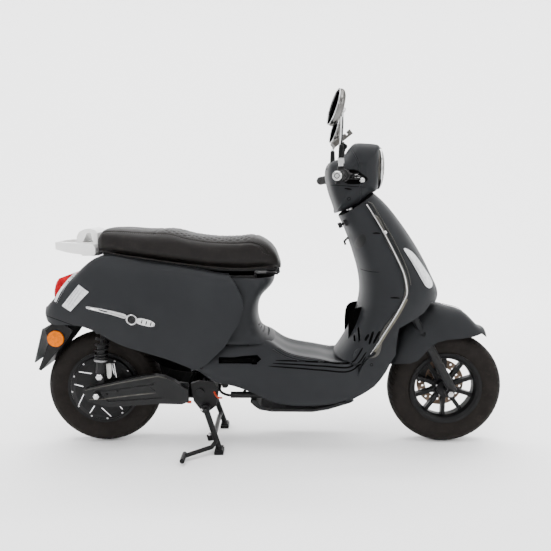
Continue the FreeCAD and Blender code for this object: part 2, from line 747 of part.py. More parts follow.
def bar_point(side, along, drop=0.0, ahead=0.0):
    """A point along one half of the handlebar, from its root towards its end."""
    x = BAR_IN[0] + (BAR_OUT[0] - BAR_IN[0]) * along + ahead
    y = (BAR_IN[1] + (BAR_OUT[1] - BAR_IN[1]) * along) * side
    z = BAR_IN[2] + (BAR_OUT[2] - BAR_IN[2]) * along - drop
    return (x, y, z)


def handlebar():
    """The bent bar with its clamp and riser, the bar ends, the left grip and the turning throttle grip."""
    tube = pipe([bar_point(-1, 0.985), bar_point(-1, 0.0), (276, -60, 1020), (276, 60, 1020), bar_point(1, 0.0),
                 bar_point(1, 0.985)], 11.0)
    clamp = box(260, 292, -24, 24, 1002, 1038)
    riser = rod(steer_point(772.0), (276, 0, 1012), 17.0)
    tube = tube.fuse(clamp).fuse(riser).cut(on_steer(HEAD_HIGH, 760.0, 40.0))
    ends = [rod(bar_point(side, 0.985), bar_point(side, 1.02), 15.0) for side in (-1, 1)]
    keep("handlebar", tube, *ends)
    for side, name in ((-1, "throttle_grip"), (1, "grip_left")):
        grip = rod(bar_point(side, 0.50), bar_point(side, 0.98), 16.5)
        keep(name, grip.cut(rod(bar_point(side, 0.0), bar_point(side, 1.0), 11.4)))


def lever_pivot(side):
    return bar_point(side, 0.36, 3.0, 40.0)


def switch_housings():
    """The switch pods with the brake lever perches, and the mirror clamps inboard of them."""
    housings = []
    for side in (-1, 1):
        px, py, pz = lever_pivot(side)
        bar = rod(bar_point(side, -0.1), bar_point(side, 1.0), 11.0)
        pod = rod(bar_point(side, 0.26), bar_point(side, 0.48), 21.0)
        perch = rod(bar_point(side, 0.33, 3.0), (px, py, pz), 10.5)
        perch = perch.fuse(Part.makeCylinder(10.5, 21.0, vec(px, py, pz - 10.5)))
        fork_gap = Part.makeCylinder(22.0, 13.0, vec(px, py, pz - 6.5))
        pod = pod.fuse(perch.cut(fork_gap)).fuse(Part.makeCylinder(2.4, 18.0, vec(px, py, pz - 9.0))).cut(bar)
        for along, angle in ((0.37, 180), (0.43, 150)):
            pod = pod.cut(button_rod(side, along, angle, 15.0, 24.0, 5.3))
        housings.append(max(pod.Solids, key=lambda s: s.Volume))
        bx, by, bz = MIRROR_BASE
        clamp = rod(bar_point(side, 0.10), bar_point(side, 0.24), 17.0)
        clamp = clamp.fuse(Part.makeCylinder(13.0, 28.0, vec(bx, by * side, bz - 28.0))).cut(bar)
        housings.append(clamp)
    keep("switch_housings", *housings)


def button_rod(side, along, angle, r0, r1, size):
    """A short round bar standing out from the bar's axis towards the rider."""
    base = bar_point(side, along)
    dx = math.cos(math.radians(angle))
    dz = math.sin(math.radians(angle))
    start = (base[0] + dx * r0, base[1], base[2] + dz * r0)
    end = (base[0] + dx * r1, base[1], base[2] + dz * r1)
    return rod(start, end, size)


def buttons():
    keep("start_button", button_rod(-1, 0.37, 180, 18.0, 25.0, 5.0))
    keep("horn_button", button_rod(1, 0.37, 180, 18.0, 25.0, 5.0))
    keep("signal_switch", button_rod(1, 0.43, 150, 17.0, 27.0, 3.2))


def brake_levers():
    for side, name in ((-1, "brake_lever_right"), (1, "brake_lever_left")):
        px, py, pz = lever_pivot(side)
        blade = pipe([(px, py, pz), (px + 13, py + 45 * side, pz - 4), (px + 12, py + 96 * side, pz - 10),
                      (px + 2, py + 146 * side, pz - 17)], 5.0)
        ball = Part.makeSphere(8.0, vec(px + 2, py + 146 * side, pz - 17))
        eye = Part.makeCylinder(8.0, 12.0, vec(px, py, pz - 6))
        pin_hole = Part.makeCylinder(2.5, 40.0, vec(px, py, pz - 20))
        keep(name, blade.fuse(ball).fuse(eye).cut(pin_hole))


def mirror(side, swing):
    """A mirror on its bent stem. The stem is swung forward about its base by an angle in degrees."""
    bx, by, bz = MIRROR_BASE
    route = [(bx, by, bz + 26), (bx - 2, by + 2, bz + 74), (bx - 8, by + 84, bz + 120), (bx - 16, by + 158, bz + 148)]
    route = [(x, y * side, z) for x, y, z in route]
    stem = pipe(route, 5.0)
    base = Part.makeCylinder(9.0, 26.6, vec(bx, by * side, bz + 0.4))
    collar = Part.makeCylinder(12.0, 8.0, vec(bx, by * side, bz + 20))
    hx, hy, hz = bx - 36.0, (by + 172.0) * side, bz + 170.0
    tilt = math.radians(16)
    facing = vec(-math.cos(tilt), 0, math.sin(tilt))
    back = vec(hx, hy, hz)
    neck = rod(route[-1], (hx + 19, hy, hz - 5), 4.5)
    stem = stem.fuse(Part.makeSphere(4.9, vec(*route[-1]))).fuse(neck).fuse(Part.makeSphere(7.0, vec(hx + 18, hy, hz - 5)))
    stem = stem.fuse(base).fuse(collar)
    head = Part.makeCylinder(58.0, 10.0, back, facing)
    rear = Part.makeCone(58.0, 34.0, 11.0, back, facing * -1.0)
    head = head.fuse(rear)
    head = head.cut(Part.makeCylinder(54.0, 4.0, back + facing * 8.0, facing))
    head = head.cut(Part.makeSphere(7.5, vec(hx + 18, hy, hz - 5)))
    head = head.cut(rod((hx + 18, hy, hz - 5), (hx + 44, hy - 30 * side, hz - 20), 6.4))
    turned = [stem, head]
    for shape in turned:
        shape.rotate(vec(bx, by * side, bz), vec(0, 0, 1), swing)
    pivot = vec(hx + 18, hy, hz - 5)
    spun = FreeCAD.Rotation(vec(0, 0, 1), swing).multVec(pivot - vec(bx, by * side, bz)) + vec(bx, by * side, bz)
    turned[1].rotate(spun, vec(0, 0, 1), -swing)
    return turned


def mirrors():
    for side, name, swing in ((-1, "right", 0.0), (1, "left", -22.0)):
        stem, head = mirror(side, swing)
        keep("mirror_stem_" + name, stem)
        keep("mirror_head_" + name, head)


def phone_holder():
    tray = Part.makeBox(74, 84, 9, vec(-37, -42, -4.5))
    lip = Part.makeBox(6, 84, 20, vec(-37, -42, -4.5))
    holder = tray.fuse(lip)
    holder.rotate(vec(0, 0, 0), vec(0, 1, 0), -38)
    holder.translate(vec(262, 62, 1150))
    post = rod((262, 62, 1146), (268, 62, 1100), 8.0)
    foot = rod((268, 62, 1100), (276, 48, 1034), 7.0)
    holder = holder.fuse(post).fuse(foot).cut(rod((276, 20, 1020), (276, 70, 1020), 11.2))
    keep("phone_holder", holder)
    jaw = Part.makeBox(6, 70, 20, vec(39, -35, -4.5))
    jaw.rotate(vec(0, 0, 0), vec(0, 1, 0), -38)
    jaw.translate(vec(262, 62, 1150))
    keep("phone_jaw", jaw)


# ---------------------------------------------------------------- wheels
def tyre(x, z):
    """A 3.50-10 tyre turned about the axle, with flat-shouldered tread."""
    half = TYRE_HALF_WIDTH
    outline = [(-30, BEAD_R), (-33, 138), (-41, 156), (-half, 176), (-42, 194), (-31, 208), (-15, 215.4), (0, TYRE_R)]
    outline = outline + [(-y, r) for y, r in outline[:-1][::-1]]
    points = [vec(x, y, z + r) for y, r in outline]
    outer = spline(points)
    inner_line = [(30, BEAD_R), (24, 140), (30, 176), (20, 198), (0, 203), (-20, 198), (-30, 176), (-24, 140), (-30, BEAD_R)]
    inner_pts = [vec(x, y, z + r) for y, r in inner_line[1:-1]]
    foot_right = [vec(x, 22, z + BEAD_R)]
    foot_left = [vec(x, -22, z + BEAD_R)]
    inner = spline(foot_right + inner_pts + foot_left)
    wire = Part.Wire([outer, Part.makeLine(points[-1], foot_right[0]), inner, Part.makeLine(foot_left[0], points[0])])
    return Part.Face(wire).revolve(vec(x, 0, z), vec(0, 1, 0), 360)


def ring(x, z, outline):
    """A closed (y, radius) outline turned about an axle."""
    points = [vec(x, y, z + r) for y, r in outline]
    return Part.Face(Part.makePolygon(points + points[:1])).revolve(vec(x, 0, z), vec(0, 1, 0), 360)


RIM = [(-34, 138), (-34, 132), (-31, BEAD_R - 0.3), (31, BEAD_R - 0.3), (34, 132), (34, 138), (38, 138), (38, 128),
       (30, 118), (14, 112), (-14, 112), (-30, 118), (-38, 128), (-38, 138)]


def front_wheel():
    x, z = FRONT_AXLE_X, FRONT_AXLE_Z
    body = ring(x, z, RIM)
    hub = disc((x, z), 34, -36, 36)
    for i in range(10):
        spoke = Part.makeBox(84, 22, 15, vec(30, -11, -7.5))
        spoke = spoke.fuse(Part.makeBox(50, 26, 22, vec(26, -13, -11)).common(
            Part.makeCone(16, 7, 50, vec(26, 0, 0), vec(1, 0, 0))))
        spoke.rotate(vec(0, 0, 0), vec(0, 1, 0), 36 * i + 18)
        spoke.translate(vec(x, 0, z))
        hub = hub.fuse(spoke)
    body = body.fuse(hub.cut(ring(x, z, [(-60, 116), (60, 116), (60, 150), (-60, 150)])))
    body = body.cut(disc((x, z), 9, -60, 60))
    keep("front_rim", body)
    keep("front_tyre", tyre(x, z))
    rotor = disc((x, z), 92, 44, 48).cut(disc((x, z), 60, 40, 60))
    for i in range(5):
        arm = Part.makeBox(50, 4, 12, vec(20, 44, -6))
        arm.rotate(vec(0, 0, 0), vec(0, 1, 0), 72 * i)
        arm.translate(vec(x, 0, z))
        rotor = rotor.fuse(arm)
    rotor = rotor.fuse(disc((x, z), 32, 36, 48))
    for i in range(15):
        a = 2 * math.pi * i / 15
        for r, s in ((70, 0.0), (80, 0.21)):
            hole = (x + r * math.cos(a + s), z + r * math.sin(a + s))
            rotor = rotor.cut(disc(hole, 4.0, 40, 60))
    rotor = rotor.cut(disc((x, z), 14, 30, 60))
    keep("front_disc", rotor)


def rear_wheel():
    x, z = REAR_AXLE_X, REAR_AXLE_Z
    outline = [(-38, 138), (-38, 126), (-46, 122), (-54, 104), (-58, 70), (-60, 30), (-60, 14), (60, 14), (60, 30),
               (58, 70), (54, 104), (46, 122), (38, 126), (38, 138), (34, 138), (34, 132), (31, BEAD_R - 0.3),
               (-31, BEAD_R - 0.3), (-34, 132), (-34, 138)]
    motor = ring(x, z, outline)
    keep("rear_tyre", tyre(x, z))
    rotor = disc((x, z), 95, 66, 70).cut(disc((x, z), 70, 60, 80))
    for i in range(6):
        arm = Part.makeBox(56, 4, 14, vec(20, 66, -7))
        arm.rotate(vec(0, 0, 0), vec(0, 1, 0), 60 * i)
        arm.translate(vec(x, 0, z))
        rotor = rotor.fuse(arm)
    rotor = rotor.fuse(disc((x, z), 30, 60.2, 70)).cut(disc((x, z), 15, 50, 80))
    keep("hub_motor", motor, rotor)


def fork_sliders():
    legs = []
    for side in (-1, 1):
        y = FORK_HALF_SPAN * side
        leg = on_steer(-2.0, 205.0, 17.0, LEG_AHEAD, y)
        lug = disc((FRONT_AXLE_X, FRONT_AXLE_Z), 17.0, y - 11, y + 11)
        leg = leg.fuse(lug).cut(on_steer(56.0, 206.0, 13.25, LEG_AHEAD, y))
        leg = leg.cut(disc((FRONT_AXLE_X, FRONT_AXLE_Z), 6.0, -130, 130))
        if side > 0:
            ear = side_plate([(664, 262), (636, 292), (604, 300), (586, 268), (600, 226), (636, 206)], y - 8, y - 2)
            leg = leg.fuse(ear.cut(on_steer(40.0, 206.0, 15.0, LEG_AHEAD, y)).cut(
                disc((FRONT_AXLE_X, FRONT_AXLE_Z), 6.0, -130, 130)))
        legs.append(leg.removeSplitter())
    axle = disc((FRONT_AXLE_X, FRONT_AXLE_Z), 6.0, -98, 98)
    for side in (-1, 1):
        axle = axle.fuse(disc((FRONT_AXLE_X, FRONT_AXLE_Z), 11.0, min(89.5 * side, 98 * side), max(89.5 * side, 98 * side)))
    keep("fork_sliders", *[leg.cut(axle) for leg in legs], axle)
    caliper = side_plate([(574, 222), (570, 268), (586, 300), (612, 306), (624, 286), (606, 262), (602, 226)], 34, 69)
    caliper = caliper.cut(disc((FRONT_AXLE_X, FRONT_AXLE_Z), 94.0, 42.5, 49.5))
    keep("front_caliper", caliper)


ARM_TOP = [(-694, 236), (-688, 244), (-617, 262), (-533, 280), (-463, 295), (-428, 297), (-392, 292), (-356, 276),
           (-322, 250)]
ARM_LOW = [(-300, 238), (-262, 244), (-246, 224), (-262, 204), (-300, 198), (-330, 186), (-414, 188), (-515, 181),
           (-599, 176), (-676, 197)]


def swingarm():
    """Two cast arms joined ahead of the tyre, holding the axle, and hung on the pivot bolt."""
    shape = None
    for side in (-1, 1):
        y0, y1 = (100.0, 122.0)
        arm = side_plate(ARM_TOP + ARM_LOW, min(y0 * side, y1 * side), max(y0 * side, y1 * side))
        recess = side_plate([(-655, 236), (-610, 250), (-470, 280), (-430, 280), (-430, 262), (-610, 236)],
                            min(118 * side, 130 * side), max(118 * side, 130 * side))
        lower = side_plate([(-640, 226), (-430, 246), (-400, 210), (-600, 196)],
                           min(118 * side, 130 * side), max(118 * side, 130 * side))
        arm = arm.cut(recess).cut(lower)
        inner = disc((REAR_AXLE_X, REAR_AXLE_Z), 22, min(76 * side, 101 * side), max(76 * side, 101 * side))
        sleeve = disc((PIVOT_X, PIVOT_Z), 17, min(70 * side, 85 * side), max(70 * side, 85 * side))
        arm = arm.fuse(inner)
        if shape is None:
            shape = arm.fuse(sleeve)
        else:
            shape = shape.fuse(arm).fuse(sleeve)
    shape = shape.cut(side_plate([(-306, 280), (-306, 140), (-180, 140), (-180, 280)], -130, -85.2))
    shape = shape.cut(side_plate([(-306, 280), (-306, 140), (-180, 140), (-180, 280)], 85.2, 130))
    bridge = side_plate([(-392, 284), (-360, 272), (-306, 246), (-262, 241), (-250, 224), (-262, 207), (-306, 202),
                         (-330, 192), (-392, 192)], -85, 85)
    bridge = bridge.cut(box(-300, -200, -70, 70, 150, 300))
    wings = box(-392, -306.5, -101, 101, 200, 262)
    shape = shape.fuse(bridge).fuse(wings)
    shape = shape.cut(disc((PIVOT_X, PIVOT_Z), 9.06, -130, 130))
    shape = shape.cut(disc((REAR_AXLE_X, REAR_AXLE_Z), 7.0, -140, 140))
    for side in (-1, 1):
        lug = box(SHOCK_LOW[0] - 10, SHOCK_LOW[0] + 10, min(100 * side, 107.5 * side), max(100 * side, 107.5 * side), 250,
                  SHOCK_LOW[1])
        lug = lug.fuse(disc((SHOCK_LOW[0], SHOCK_LOW[1]), 10, min(100 * side, 107.5 * side), max(100 * side, 107.5 * side)))
        shape = shape.fuse(lug)
    axle = disc((REAR_AXLE_X, REAR_AXLE_Z), 7.0, -134, 134)
    for side in (-1, 1):
        nut = disc((REAR_AXLE_X, REAR_AXLE_Z), 13.0, min(122.2 * side, 130 * side), max(122.2 * side, 130 * side))
        axle = axle.fuse(nut)
    caliper = side_plate([(-612, 286), (-584, 300), (-556, 296), (-552, 262), (-580, 262), (-604, 270)], 59.5, 80)
    caliper = caliper.cut(disc((REAR_AXLE_X, REAR_AXLE_Z), 97.0, 64.5, 71.5))
    keep("swingarm", shape, axle, max(caliper.Solids, key=lambda s: s.Volume))


def shocks():
    """A coil-over damper on each side, hung from the frame; its lower half slides up the rod."""
    lx, lz = SHOCK_LOW
    tx, tz = SHOCK_TOP
    length = math.hypot(tx - lx, tz - lz)

    def along(t, y):
        return (lx + (tx - lx) * t / length, y, lz + (tz - lz) * t / length)

    uppers = []
    lowers = []
    for side in (-1, 1):
        y = SHOCK_Y * side
        eye = disc((tx, tz), 14.0, y - 10, y + 10)
        head = rod(along(length - 40, y), along(length - 18, y), 19.0)
        shaft = rod(along(96, y), along(length - 38, y), 6.0)
        neck = rod(along(length - 30, y), along(length, y), 8.0)
        top = head.fuse(shaft).fuse(eye).fuse(neck).cut(disc((tx, tz), 5.1, y - 20, y + 20))
        uppers.append(top.removeSplitter())
        tube = rod(along(14, y), along(118, y), 16.0).fuse(rod(along(0, y), along(20, y), 8.0)).fuse(rod(along(70, y), along(77, y), 23.0))
        tube = tube.fuse(disc((lx, lz), 12.0, y - 9, y + 9)).cut(disc((lx, lz), 4.0, y - 20, y + 20))
        tube = tube.cut(rod(along(30, y), along(130, y), 7.0))
        lowers.append(tube.removeSplitter())
    keep("shock_uppers", *uppers)
    keep("shock_lowers", *lowers)


# ---------------------------------------------------------------- stand, pegs, hook, key
def centre_stand():
    legs = None
    for side in (-1, 1):
        top = (STAND_X, 112.0 * side, STAND_Z)
        foot = (STAND_X + 50.0, 122.0 * side, 16.0)
        leg = rod(top, foot, 11.0)
        eye = disc((STAND_X, STAND_Z), 16.0, min(99 * side, 124 * side), max(99 * side, 124 * side))
        shoe = box(foot[0] - 14, foot[0] + 14, foot[1] - 20, foot[1] + 20, 12.0, 20.0)
        leg = leg.fuse(eye).fuse(shoe)
        legs = leg if legs is None else legs.fuse(leg)
    cross = pipe([(STAND_X + 36, -118, 62), (STAND_X + 30, -92, 56), (STAND_X + 30, 92, 56), (STAND_X + 36, 118, 62)], 9.0)
    lever = pipe([(STAND_X + 40, -124, 46), (STAND_X + 24, -142, 30), (STAND_X - 70, -196, 20)], 8.0)
    pedal = rod((STAND_X - 70, -176, 20), (STAND_X - 70, -236, 20), 9.0)
    lug = side_plate([(STAND_X + 2, 62), (STAND_X + 30, 76), (STAND_X + 36, 44), (STAND_X + 8, 40)], -112, -106)
    stand = legs.fuse(cross).fuse(lever).fuse(pedal).fuse(lug)
    stand = stand.cut(disc((STAND_X, STAND_Z), 7.06, -150, 150))
    pads = []
    for side in (-1, 1):
        y = 122.0 * side
        pads.append(box(STAND_X + 50 - 17, STAND_X + 50 + 17, y - 23, y + 23, 0.0, 12.0))
    keep("centre_stand", max(stand.Solids, key=lambda s: s.Volume), *pads)


def footpegs():
    """Folding pillion pegs, at rest folded up against the floor skirt."""
    for side, name in ((-1, "footpeg_right"), (1, "footpeg_left")):
        y = 150.0 * side
        peg = rod((-66, y, 362), (-178, y, 360), 7.0)
        knuckle = Part.makeCylinder(8.0, 14.0, vec(-62, y, 354))
        keep(name, peg.fuse(knuckle))


def hook_and_key():
    hook = pipe([(306, 0, 800), (288, 0, 795), (272, 0, 778), (276, 0, 764)], 4.0)
    keep("bag_hook", hook)
    """The folding bag hook, and the ignition key in its turning barrel."""
    lock_at = (262.0, -62.0, 847.1)
    barrel = rod((290, -62, 860), (262, -62, 847.1), 12.0)
    blade = Part.makeBox(16, 3, 9, vec(-24, -1.5, -4.5)).fuse(Part.makeBox(14, 4, 20, vec(-38, -2, -10)))
    blade.rotate(vec(0, 0, 0), vec(0, 1, 0), -24.8)
    blade.translate(vec(lock_at[0] + 14, lock_at[1], lock_at[2] + 6.5))
    keep("ignition_key", barrel.fuse(blade))


# ---------------------------------------------------------------- build
frame()
stand_bracket()
pivot_bolts()
cowls()
tail_cover()
column_cover()
apron()
legshield_inner()
floorboard()
belly_pan()
edge_trims()
turn_signals()
tail_light()
reflectors()
rear_mudguard()
rack()
electrics()
storage_bucket()
seat()
headset()
fork_and_stem()
front_fender()
handlebar()
switch_housings()
buttons()
brake_levers()
mirrors()
phone_holder()
front_wheel()
rear_wheel()
fork_sliders()
swingarm()
shocks()
centre_stand()
footpegs()
hook_and_key()

os.makedirs("parts", exist_ok=True)
for node, shape in parts.items():
    shape.exportStep("parts/%s.step" % node)
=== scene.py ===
import math
import bpy
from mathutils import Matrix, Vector


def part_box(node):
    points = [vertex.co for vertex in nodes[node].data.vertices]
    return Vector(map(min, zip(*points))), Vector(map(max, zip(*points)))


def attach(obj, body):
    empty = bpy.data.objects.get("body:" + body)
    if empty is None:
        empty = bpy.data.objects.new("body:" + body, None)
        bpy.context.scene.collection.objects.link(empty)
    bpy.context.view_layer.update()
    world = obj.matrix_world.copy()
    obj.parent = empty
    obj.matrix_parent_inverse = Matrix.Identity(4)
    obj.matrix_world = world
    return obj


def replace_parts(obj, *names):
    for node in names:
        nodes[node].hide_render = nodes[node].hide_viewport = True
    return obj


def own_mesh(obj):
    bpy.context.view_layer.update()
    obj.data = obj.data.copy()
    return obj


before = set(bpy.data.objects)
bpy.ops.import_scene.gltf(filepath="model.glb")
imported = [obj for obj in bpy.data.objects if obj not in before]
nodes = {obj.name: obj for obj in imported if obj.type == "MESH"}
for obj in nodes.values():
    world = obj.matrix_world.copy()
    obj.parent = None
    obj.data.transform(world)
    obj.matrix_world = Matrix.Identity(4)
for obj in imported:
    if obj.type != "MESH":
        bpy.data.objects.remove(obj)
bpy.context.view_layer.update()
MM = 0.001
SIDES = ((-1, "right"), (1, "left"))


# ------------------------------------------------------------------ materials
USUAL_SLOT = {}
SMOOTHER, ROUGHER = 0.07, 0.08
RELIEF_HEIGHT = 0.0006


def set_stops(ramp, stops):
    """The positions and colours along a colour ramp node."""
    for _ in stops[2:]:
        ramp.color_ramp.elements.new(0.5)
    for element, (at, colour) in zip(ramp.color_ramp.elements, stops):
        element.position = at
        element.color = colour


def surface(name, slot, base, rough, metal, vary, mottle, grain, bump, coat=0.0, coat_rough=0.12,
            transmission=0.0, wear=None, specular=0.5, tint=1.0):
    """A finish whose colour, roughness and relief all vary a little; slot is the record's material it stands for."""
    mat = bpy.data.materials.new(name)
    USUAL_SLOT[mat] = slot
    mat.use_nodes = True
    tree = mat.node_tree
    shader = tree.nodes["Principled BSDF"]
    for socket, value in (("Metallic", metal), ("IOR", 1.5), ("Coat Weight", coat), ("Coat Roughness", coat_rough),
                          ("Transmission Weight", transmission), ("Specular IOR Level", specular),
                          ("Specular Tint", (tint, tint, tint, 1.0))):
        shader.inputs[socket].default_value = value
    place = tree.nodes.new("ShaderNodeTexCoord")

    def noise(size, detail, roughness):
        texture = tree.nodes.new("ShaderNodeTexNoise")
        for socket, value in (("Scale", size), ("Detail", detail), ("Roughness", roughness)):
            texture.inputs[socket].default_value = value
        tree.links.new(place.outputs["Object"], texture.inputs["Vector"])
        return texture.outputs["Fac"]

    ramp = tree.nodes.new("ShaderNodeValToRGB")
    low = [c * (1 - vary) for c in base] + [1.0]
    high = [min(1.0, c * (1 + vary)) for c in base] + [1.0]
    set_stops(ramp, [(0.35, low), (0.68, high)])
    tree.links.new(noise(mottle, 5.0, 0.6), ramp.inputs["Fac"])
    colour = ramp.outputs["Color"]
    if wear:
        mask = tree.nodes.new("ShaderNodeValToRGB")
        set_stops(mask, [(0.56, (0, 0, 0, 1)), (0.74, (1, 1, 1, 1))])
        tree.links.new(noise(mottle * 4.0, 9.0, 0.7), mask.inputs["Fac"])
        mix = tree.nodes.new("ShaderNodeMix")
        mix.data_type = "RGBA"
        tree.links.new(mask.outputs["Color"], mix.inputs["Factor"])
        tree.links.new(colour, mix.inputs["A"])
        mix.inputs["B"].default_value = list(wear) + [1.0]
        colour = mix.outputs["Result"]
    tree.links.new(colour, shader.inputs["Base Color"])
    span = tree.nodes.new("ShaderNodeMapRange")
    span.inputs["To Min"].default_value = max(0.02, rough - SMOOTHER)
    span.inputs["To Max"].default_value = min(1.0, rough + ROUGHER)
    tree.links.new(noise(mottle * 3.0, 4.0, 0.55), span.inputs["Value"])
    tree.links.new(span.outputs["Result"], shader.inputs["Roughness"])
    relief = tree.nodes.new("ShaderNodeBump")
    relief.inputs["Strength"].default_value = bump
    relief.inputs["Distance"].default_value = RELIEF_HEIGHT
    tree.links.new(noise(grain, 3.0, 0.6), relief.inputs["Height"])
    tree.links.new(relief.outputs["Normal"], shader.inputs["Normal"])
    return mat


# name, slot, colour, roughness, metal, vary, mottle, grain, bump; finishes only laid on nodes have no slot
PAINT = surface("slate_paint", "body_paint", (0.0152, 0.0160, 0.0174), 0.46, 0.0, 0.09, 3.0, 500, 0.03,
                specular=0.07)
BLACK = surface("grained_black", "black_plastic", (0.0045, 0.0046, 0.0048), 0.52, 0.0, 0.20, 14.0, 1600, 0.22,
                specular=0.18)
# Near-black with almost no gloss: painted shade inside slots, grooves, sunk screws, recesses and gaps, on the folded
# footpegs and on the rear arm's middle; also the colour of the dark seams.
SHADE_AND_SEAM_BLACK = surface("shade_and_seam_black", "black_plastic", (0.0008, 0.0008, 0.0008), 0.90, 0.0, 0.3, 60.0, 800, 0.1,
               specular=0.02)
LEATHER = surface("seat_cover", "seat_leather", (0.0056, 0.0046, 0.0042), 0.50, 0.0, 0.22, 16.0, 620, 0.45,
                  wear=(0.0125, 0.0092, 0.0078), specular=0.13)
THREAD = surface("seat_thread", "seat_leather", (0.022, 0.019, 0.017), 0.6, 0.0, 0.2, 90.0, 2600, 0.5,
                 specular=0.2)
STEEL_BLACK = surface("powder_black", "black_steel", (0.0040, 0.0040, 0.0042), 0.46, 0.0, 0.18, 18.0, 1400, 0.14,
                      wear=(0.010, 0.009, 0.008), specular=0.15)
ARM_BLACK = surface("cast_black", "black_alloy", (0.0065, 0.0066, 0.0068), 0.38, 0.0, 0.16, 22.0, 900, 0.18,
                    specular=0.16)
BRIGHT = surface("plated_steel", "bright_steel", (0.50, 0.50, 0.50), 0.24, 1.0, 0.12, 30.0, 1100, 0.06,
                 wear=(0.34, 0.32, 0.29))
CHROME = surface("chrome", "chrome_trim", (0.47, 0.47, 0.47), 0.10, 1.0, 0.22, 14.0, 700, 0.03,
                 wear=(0.10, 0.10, 0.10), tint=0.45)
SATIN = surface("satin_edge", "chrome_trim", (0.060, 0.058, 0.053), 0.36, 0.85, 0.16, 26.0, 1200, 0.08,
                wear=(0.11, 0.106, 0.096), tint=0.5)
SMOKE = surface("smoked_lens", "clear_lens", (0.17, 0.17, 0.148), 0.12, 0.0, 0.10, 14.0, 260, 0.06,
                transmission=0.6, specular=0.3)
OLIVE = surface("worn_edge", "chrome_trim", (0.085, 0.080, 0.062), 0.40, 0.80, 0.20, 30.0, 1100, 0.10,
                wear=(0.16, 0.15, 0.12))
TAUPE = surface("holder_grey", "black_plastic", (0.070, 0.066, 0.060), 0.60, 0.0, 0.14, 24.0, 1500, 0.22,
                wear=(0.11, 0.105, 0.097), specular=0.15)
ALLOY = surface("cast_alloy", "silver_alloy", (0.24, 0.24, 0.245), 0.40, 1.0, 0.14, 26.0, 1200, 0.16)
RIM_BLACK = surface("rim_black", None, (0.0026, 0.0026, 0.0028), 0.42, 0.0, 0.18, 22.0, 900, 0.06, specular=0.14)
POLISH = surface("polished_alloy", "silver_alloy", (0.66, 0.665, 0.67), 0.22, 1.0, 0.10, 40.0, 1500, 0.05)
DISC = surface("disc_steel", None, (0.16, 0.115, 0.085), 0.42, 0.9, 0.24, 50.0, 1800, 0.22, wear=(0.30, 0.22, 0.16))
RUBBER = surface("tyre_rubber", "tyre_rubber", (0.0082, 0.0066, 0.0056), 0.70, 0.0, 0.24, 24.0, 1500, 0.35,
                 wear=(0.0150, 0.0118, 0.0096), specular=0.10)
GRIP = surface("grip_rubber", "grip_rubber", (0.0040, 0.0040, 0.0041), 0.66, 0.0, 0.18, 60.0, 2200, 0.30,
               specular=0.16)
MIRROR = surface("mirror_glass", "chrome_trim", (0.30, 0.31, 0.32), 0.05, 1.0, 0.08, 6.0, 200, 0.002, tint=0.02)
SHELL = surface("mirror_back", "chrome_trim", (0.13, 0.127, 0.122), 0.20, 1.0, 0.25, 18.0, 900, 0.05,
                wear=(0.34, 0.33, 0.32), tint=0.25)
FROST = surface("pale_reflector", "signal_lens", (0.60, 0.61, 0.62), 0.24, 0.35, 0.20, 110.0, 900, 0.30,
                specular=0.35)
RED = surface("red_lens", "red_lens", (0.42, 0.0006, 0.0060), 0.26, 0.0, 0.35, 36.0, 900, 0.05, coat=0.03,
              coat_rough=0.08, specular=0.10)
AMBER = surface("amber_lens", None, (0.56, 0.125, 0.0010), 0.60, 0.0, 0.22, 120.0, 1500, 0.25, specular=0.03)
WHITE = surface("white_enamel", None, (0.74, 0.735, 0.725), 0.32, 0.0, 0.05, 10.0, 700, 0.03, coat=0.3,
                wear=(0.60, 0.585, 0.565))
ORANGE = surface("cable_orange", "button_plastic", (0.34, 0.028, 0.005), 0.5, 0.0, 0.18, 60.0, 1500, 0.2,
                 specular=0.2)
LABEL = surface("label_film", "silver_alloy", (0.36, 0.36, 0.345), 0.40, 0.0, 0.20, 50.0, 900, 0.06, specular=0.3)
PLATE = surface("plate_grey", None, (0.050, 0.055, 0.056), 0.40, 0.0, 0.18, 18.0, 900, 0.1,
                wear=(0.090, 0.095, 0.094), specular=0.25)

FINISH = {
    PAINT: "cowl_left cowl_right front_apron headset_front front_fender tail_cover legshield_inner column_cover "
           "floorboard headset_rear",
    BLACK: "belly_pan rear_mudguard storage_bucket seat_base dash switch_housings battery pivot_bolts "
           "bag_hook ignition_key",
    # The folded footpegs are near-black: partly their own black, partly painted shade of the recess they fold into.
    SHADE_AND_SEAM_BLACK: "footpeg_left footpeg_right",
    TAUPE: "phone_holder phone_jaw",
    SATIN: "edge_trims",
    SHELL: "mirror_head_left mirror_head_right",
    STEEL_BLACK: "frame_front frame_floor frame_rear stand_bracket steering_stem centre_stand",
    ARM_BLACK: "swingarm shock_uppers shock_lowers front_caliper fork_sliders",
    BRIGHT: "handlebar",
    CHROME: "mirror_stem_left mirror_stem_right brake_lever_left brake_lever_right",
    RIM_BLACK: "front_rim hub_motor",
    DISC: "front_disc",
    PLATE: "number_plate",
    RED: "tail_light",
    FROST: "turn_signals",
    AMBER: "side_reflectors",
    WHITE: "rack",
    GRIP: "start_button horn_button signal_switch",
}
for finish, names in FINISH.items():
    for name in names.split():
        node = nodes[name]
        node.data.materials.clear()
        node.data.materials.append(finish)


def shade(name, finish, covers):
    """The faces of a node whose centres pass the test take a second finish."""
    data = nodes[name].data
    data.materials.append(finish)
    for face in data.polygons:
        if covers(face.center):
            face.material_index = 1


# The rear arm's middle faces (its bridge) are painted near-black: painted shade where the bridge top would otherwise
# show lit.
shade("swingarm", SHADE_AND_SEAM_BLACK, lambda centre: abs(centre.y) < 0.094)
shade("steering_stem", PAINT, lambda centre: 0.43 < centre.z < 0.56)


